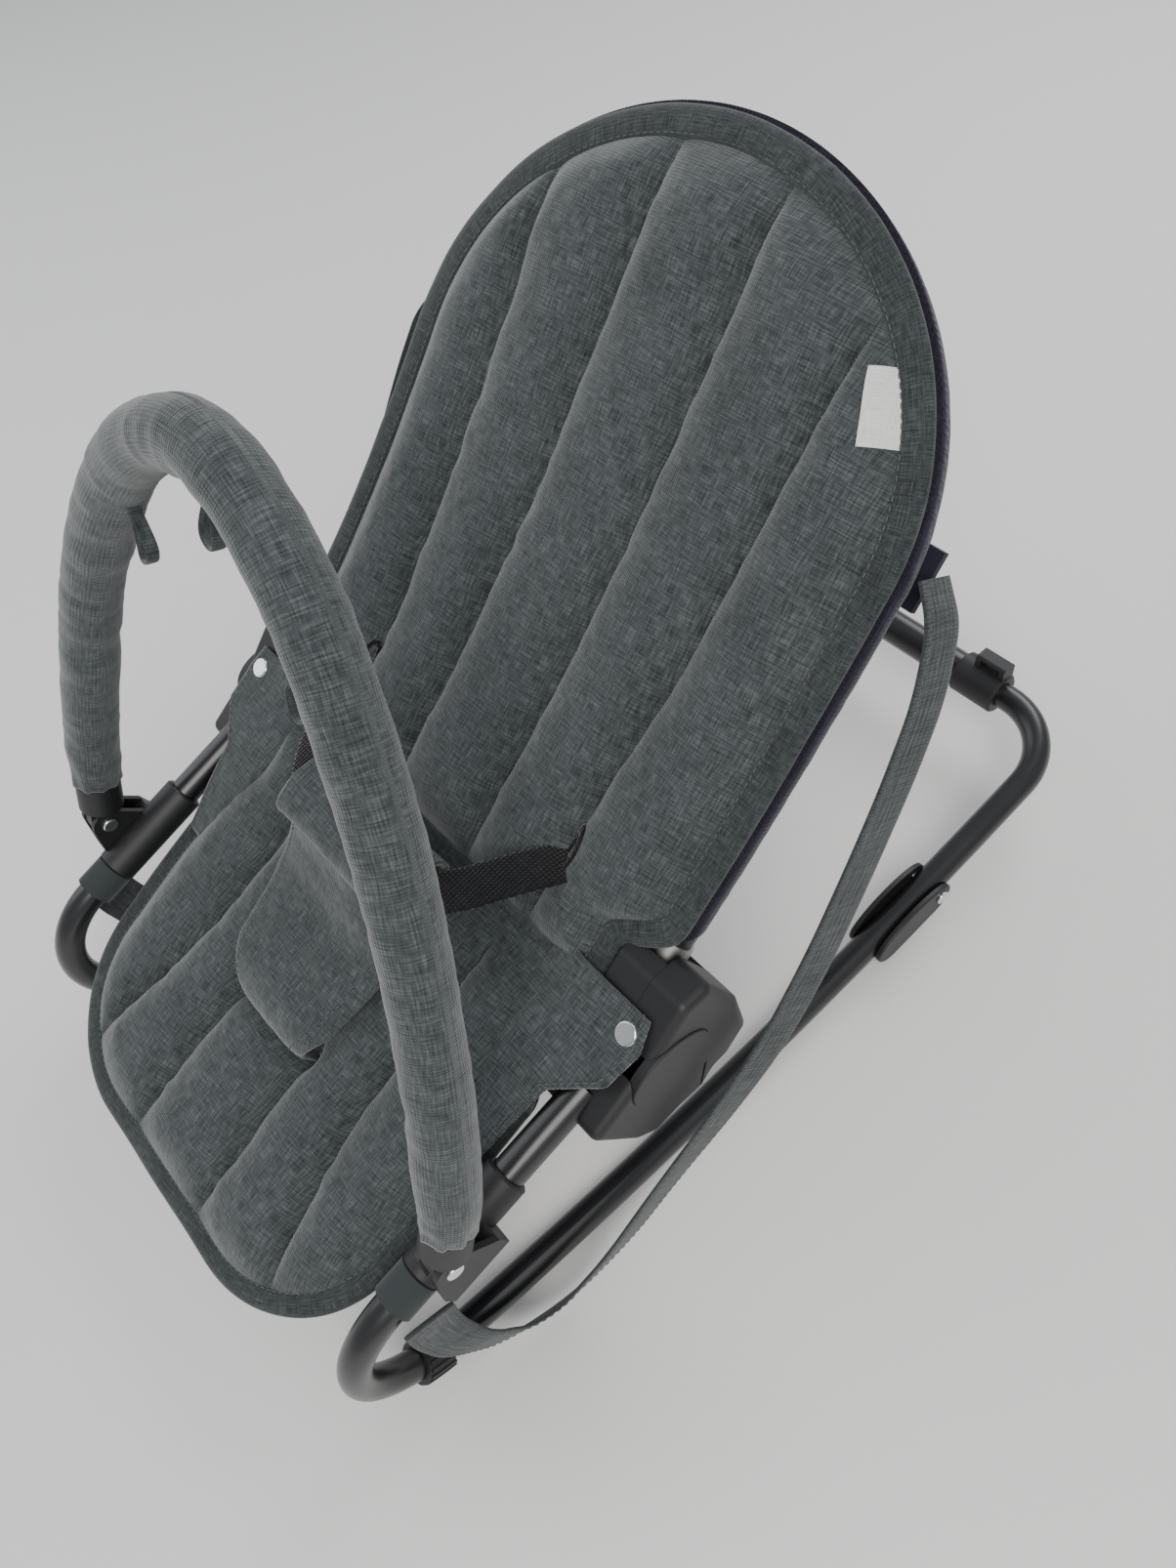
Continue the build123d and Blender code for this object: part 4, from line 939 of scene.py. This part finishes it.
def build_stage():
    stage = bpy.context.scene.bouncer_stage
    bpy.ops.mesh.primitive_plane_add(size=12, location=(0, 0, 0))
    floor = bpy.context.object
    floor.name = "studio_floor"
    floor.data.materials.append(coated("studio_floor", tuple(stage.floor), 0.75, 300, 0.0002))
    add_light("key", (1.3, -0.9, 1.9), (0, 0, 0.2), stage.key, 1.3, (1.0, 0.98, 0.95))
    add_light("fill", (-1.6, -0.8, 1.3), (0, 0, 0.2), stage.key * 0.35, 1.8, (0.93, 0.96, 1.0))
    add_light("back", (-0.3, 1.7, 1.6), (0, 0, 0.25), stage.key * 0.5, 1.2)
    world = bpy.data.worlds.new("studio")
    world.use_nodes = True
    world.node_tree.nodes["Background"].inputs["Color"].default_value = (0.85, 0.89, 0.95, 1)
    world.node_tree.nodes["Background"].inputs["Strength"].default_value = 0.55
    bpy.context.scene.world = world
    azimuth, elevation, roll = (math.radians(v) for v in (58.57, 53.66, -12.04))
    back = Vector(
        (
            math.sin(azimuth) * math.cos(elevation),
            -math.cos(azimuth) * math.cos(elevation),
            math.sin(elevation),
        )
    )
    right0 = Vector((math.cos(azimuth), math.sin(azimuth), 0))
    up0 = back.cross(right0)
    right = right0 * math.cos(roll) + up0 * math.sin(roll)
    up = up0 * math.cos(roll) - right0 * math.sin(roll)
    data = bpy.data.cameras.new("camera")
    data.sensor_fit, data.sensor_height, data.lens = "VERTICAL", 36.0, stage.lens
    data.dof.use_dof = False
    camera = bpy.data.objects.new("camera", data)
    matrix = Matrix((right, up, back)).transposed().to_4x4()
    matrix.translation = Vector((0.388, SHIFT_Y - 0.111, 0.747))
    camera.matrix_world = matrix
    bpy.context.scene.collection.objects.link(camera)
    bpy.context.scene.camera = camera


# ---- add-on -------------------------------------------------------------------------------------
def colour_property(name, description, default):
    return bpy.props.FloatVectorProperty(
        name=name, description=description, default=default, subtype="COLOR", size=3, min=0, max=1
    )


class BouncerCloth(bpy.types.PropertyGroup):
    """Colours and sizes of the sewn pieces"""

    dark: colour_property("Dark threads", "Darkest thread of the melange cloth", (0.018, 0.021, 0.022))
    mid: colour_property("Main threads", "Main thread of the melange cloth", (0.055, 0.064, 0.065))
    light: colour_property("Light threads", "Lightest thread of the melange cloth", (0.135, 0.15, 0.15))
    liner: colour_property("Rear cover", "Colour of the rear covers", (0.02, 0.019, 0.034))
    thread: bpy.props.FloatProperty(
        name="Thread spacing", description="Distance between threads", default=0.00075, unit="LENGTH"
    )
    crown: bpy.props.FloatProperty(
        name="Channel crown", description="Height of the quilted channels", default=0.0155, unit="LENGTH"
    )


class BouncerHard(bpy.types.PropertyGroup):
    """Colours of the tubes and the moulded pieces"""

    tube: colour_property("Tube", "Paint of the tubes", (0.008, 0.008, 0.009))
    plastic: colour_property("Plastic", "Colour of the moulded pieces", (0.011, 0.011, 0.012))


class BouncerStage(bpy.types.PropertyGroup):
    """Floor, light and lens"""

    floor: colour_property("Floor", "Colour of the studio floor", (0.78, 0.77, 0.75))
    key: bpy.props.FloatProperty(
        name="Key light", description="Power of the key light", default=42.0, unit="POWER"
    )
    lens: bpy.props.FloatProperty(
        name="Lens", description="Focal length in millimetres", default=27.0, unit="CAMERA"
    )


class BOUNCER_OT_materials(bpy.types.Operator):
    """Make the cloth, paint and plastic materials"""

    bl_idname = "bouncer.materials"
    bl_label = "Materials"

    def execute(self, context):
        build_materials()
        return {"FINISHED"}


class BOUNCER_OT_frame(bpy.types.Operator):
    """Paint the tubes, hubs, collars and fasteners"""

    bl_idname = "bouncer.frame"
    bl_label = "Frame finish"

    def execute(self, context):
        paint_frame()
        return {"FINISHED"}


class BOUNCER_OT_back_pad(bpy.types.Operator):
    """Build the quilted backrest with its seams and belt slots"""

    bl_idname = "bouncer.back_pad"
    bl_label = "Backrest pad"

    def execute(self, context):
        build_back_pad()
        build_back_seams()
        build_belt_slots()
        return {"FINISHED"}


class BOUNCER_OT_back_trim(bpy.types.Operator):
    """Build the binding and the side label"""

    bl_idname = "bouncer.back_trim"
    bl_label = "Backrest trim"

    def execute(self, context):
        build_back_binding()
        build_label()
        return {"FINISHED"}


class BOUNCER_OT_back_cover(bpy.types.Operator):
    """Build the cover behind the tube"""

    bl_idname = "bouncer.back_cover"
    bl_label = "Backrest rear cover"

    def execute(self, context):
        build_back_liner()
        return {"FINISHED"}


class BOUNCER_OT_seat_pad(bpy.types.Operator):
    """Build the quilted seat"""

    bl_idname = "bouncer.seat_pad"
    bl_label = "Seat pad"

    def execute(self, context):
        build_seat_pad()
        return {"FINISHED"}


class BOUNCER_OT_seat_trim(bpy.types.Operator):
    """Build the seat's binding and hip cloths"""

    bl_idname = "bouncer.seat_trim"
    bl_label = "Seat trim"

    def execute(self, context):
        build_seat_binding()
        build_hip_flaps()
        return {"FINISHED"}


class BOUNCER_OT_seat_cover(bpy.types.Operator):
    """Build the cover under the seat"""

    bl_idname = "bouncer.seat_cover"
    bl_label = "Seat rear cover"

    def execute(self, context):
        build_seat_liner()
        return {"FINISHED"}


class BOUNCER_OT_crotch(bpy.types.Operator):
    """Build the crotch pad and the belt's sleeve"""

    bl_idname = "bouncer.crotch"
    bl_label = "Crotch pad"

    def execute(self, context):
        build_crotch_pad()
        build_belt_tunnel()
        return {"FINISHED"}


class BOUNCER_OT_belt(bpy.types.Operator):
    """Build the waist webbing"""

    bl_idname = "bouncer.belt"
    bl_label = "Waist belt"

    def execute(self, context):
        build_waist_straps()
        return {"FINISHED"}


class BOUNCER_OT_toy_bar(bpy.types.Operator):
    """Build the toy bar's sleeve and loops"""

    bl_idname = "bouncer.toy_bar"
    bl_label = "Toy bar"

    def execute(self, context):
        build_toy_bar_sleeve()
        build_toy_loops()
        return {"FINISHED"}


class BOUNCER_OT_straps(bpy.types.Operator):
    """Build the carry straps"""

    bl_idname = "bouncer.straps"
    bl_label = "Carry straps"

    def execute(self, context):
        build_carry_straps()
        return {"FINISHED"}


class BOUNCER_OT_stage(bpy.types.Operator):
    """Build the floor, the lights and the camera"""

    bl_idname = "bouncer.stage"
    bl_label = "Stage"

    def execute(self, context):
        build_stage()
        return {"FINISHED"}


OPERATORS = [
    BOUNCER_OT_materials,
    BOUNCER_OT_frame,
    BOUNCER_OT_back_pad,
    BOUNCER_OT_back_trim,
    BOUNCER_OT_back_cover,
    BOUNCER_OT_seat_pad,
    BOUNCER_OT_seat_trim,
    BOUNCER_OT_seat_cover,
    BOUNCER_OT_crotch,
    BOUNCER_OT_belt,
    BOUNCER_OT_toy_bar,
    BOUNCER_OT_straps,
    BOUNCER_OT_stage,
]


class BOUNCER_PT_panel(bpy.types.Panel):
    """Lists the settings and the pieces"""

    bl_idname = "BOUNCER_PT_panel"
    bl_label = "Bouncer seat"
    bl_space_type = "VIEW_3D"
    bl_region_type = "UI"
    bl_category = "Bouncer"

    def draw(self, context):
        for group in ("bouncer_cloth", "bouncer_hard", "bouncer_stage"):
            settings = getattr(context.scene, group)
            box = self.layout.box()
            for name in settings.__annotations__:
                box.prop(settings, name)
        for operator in OPERATORS:
            self.layout.operator(operator.bl_idname)


GROUPS = {"bouncer_cloth": BouncerCloth, "bouncer_hard": BouncerHard, "bouncer_stage": BouncerStage}


def register():
    for name, group in GROUPS.items():
        bpy.utils.register_class(group)
        setattr(bpy.types.Scene, name, bpy.props.PointerProperty(type=group))
    for cls in (*OPERATORS, BOUNCER_PT_panel):
        bpy.utils.register_class(cls)


def unregister():
    for cls in (BOUNCER_PT_panel, *reversed(OPERATORS)):
        bpy.utils.unregister_class(cls)
    for name, group in GROUPS.items():
        delattr(bpy.types.Scene, name)
        bpy.utils.unregister_class(group)


def main():
    register()
    for operator in OPERATORS:
        getattr(bpy.ops.bouncer, operator.bl_idname.split(".")[1])()


if __name__ == "__main__":
    main()
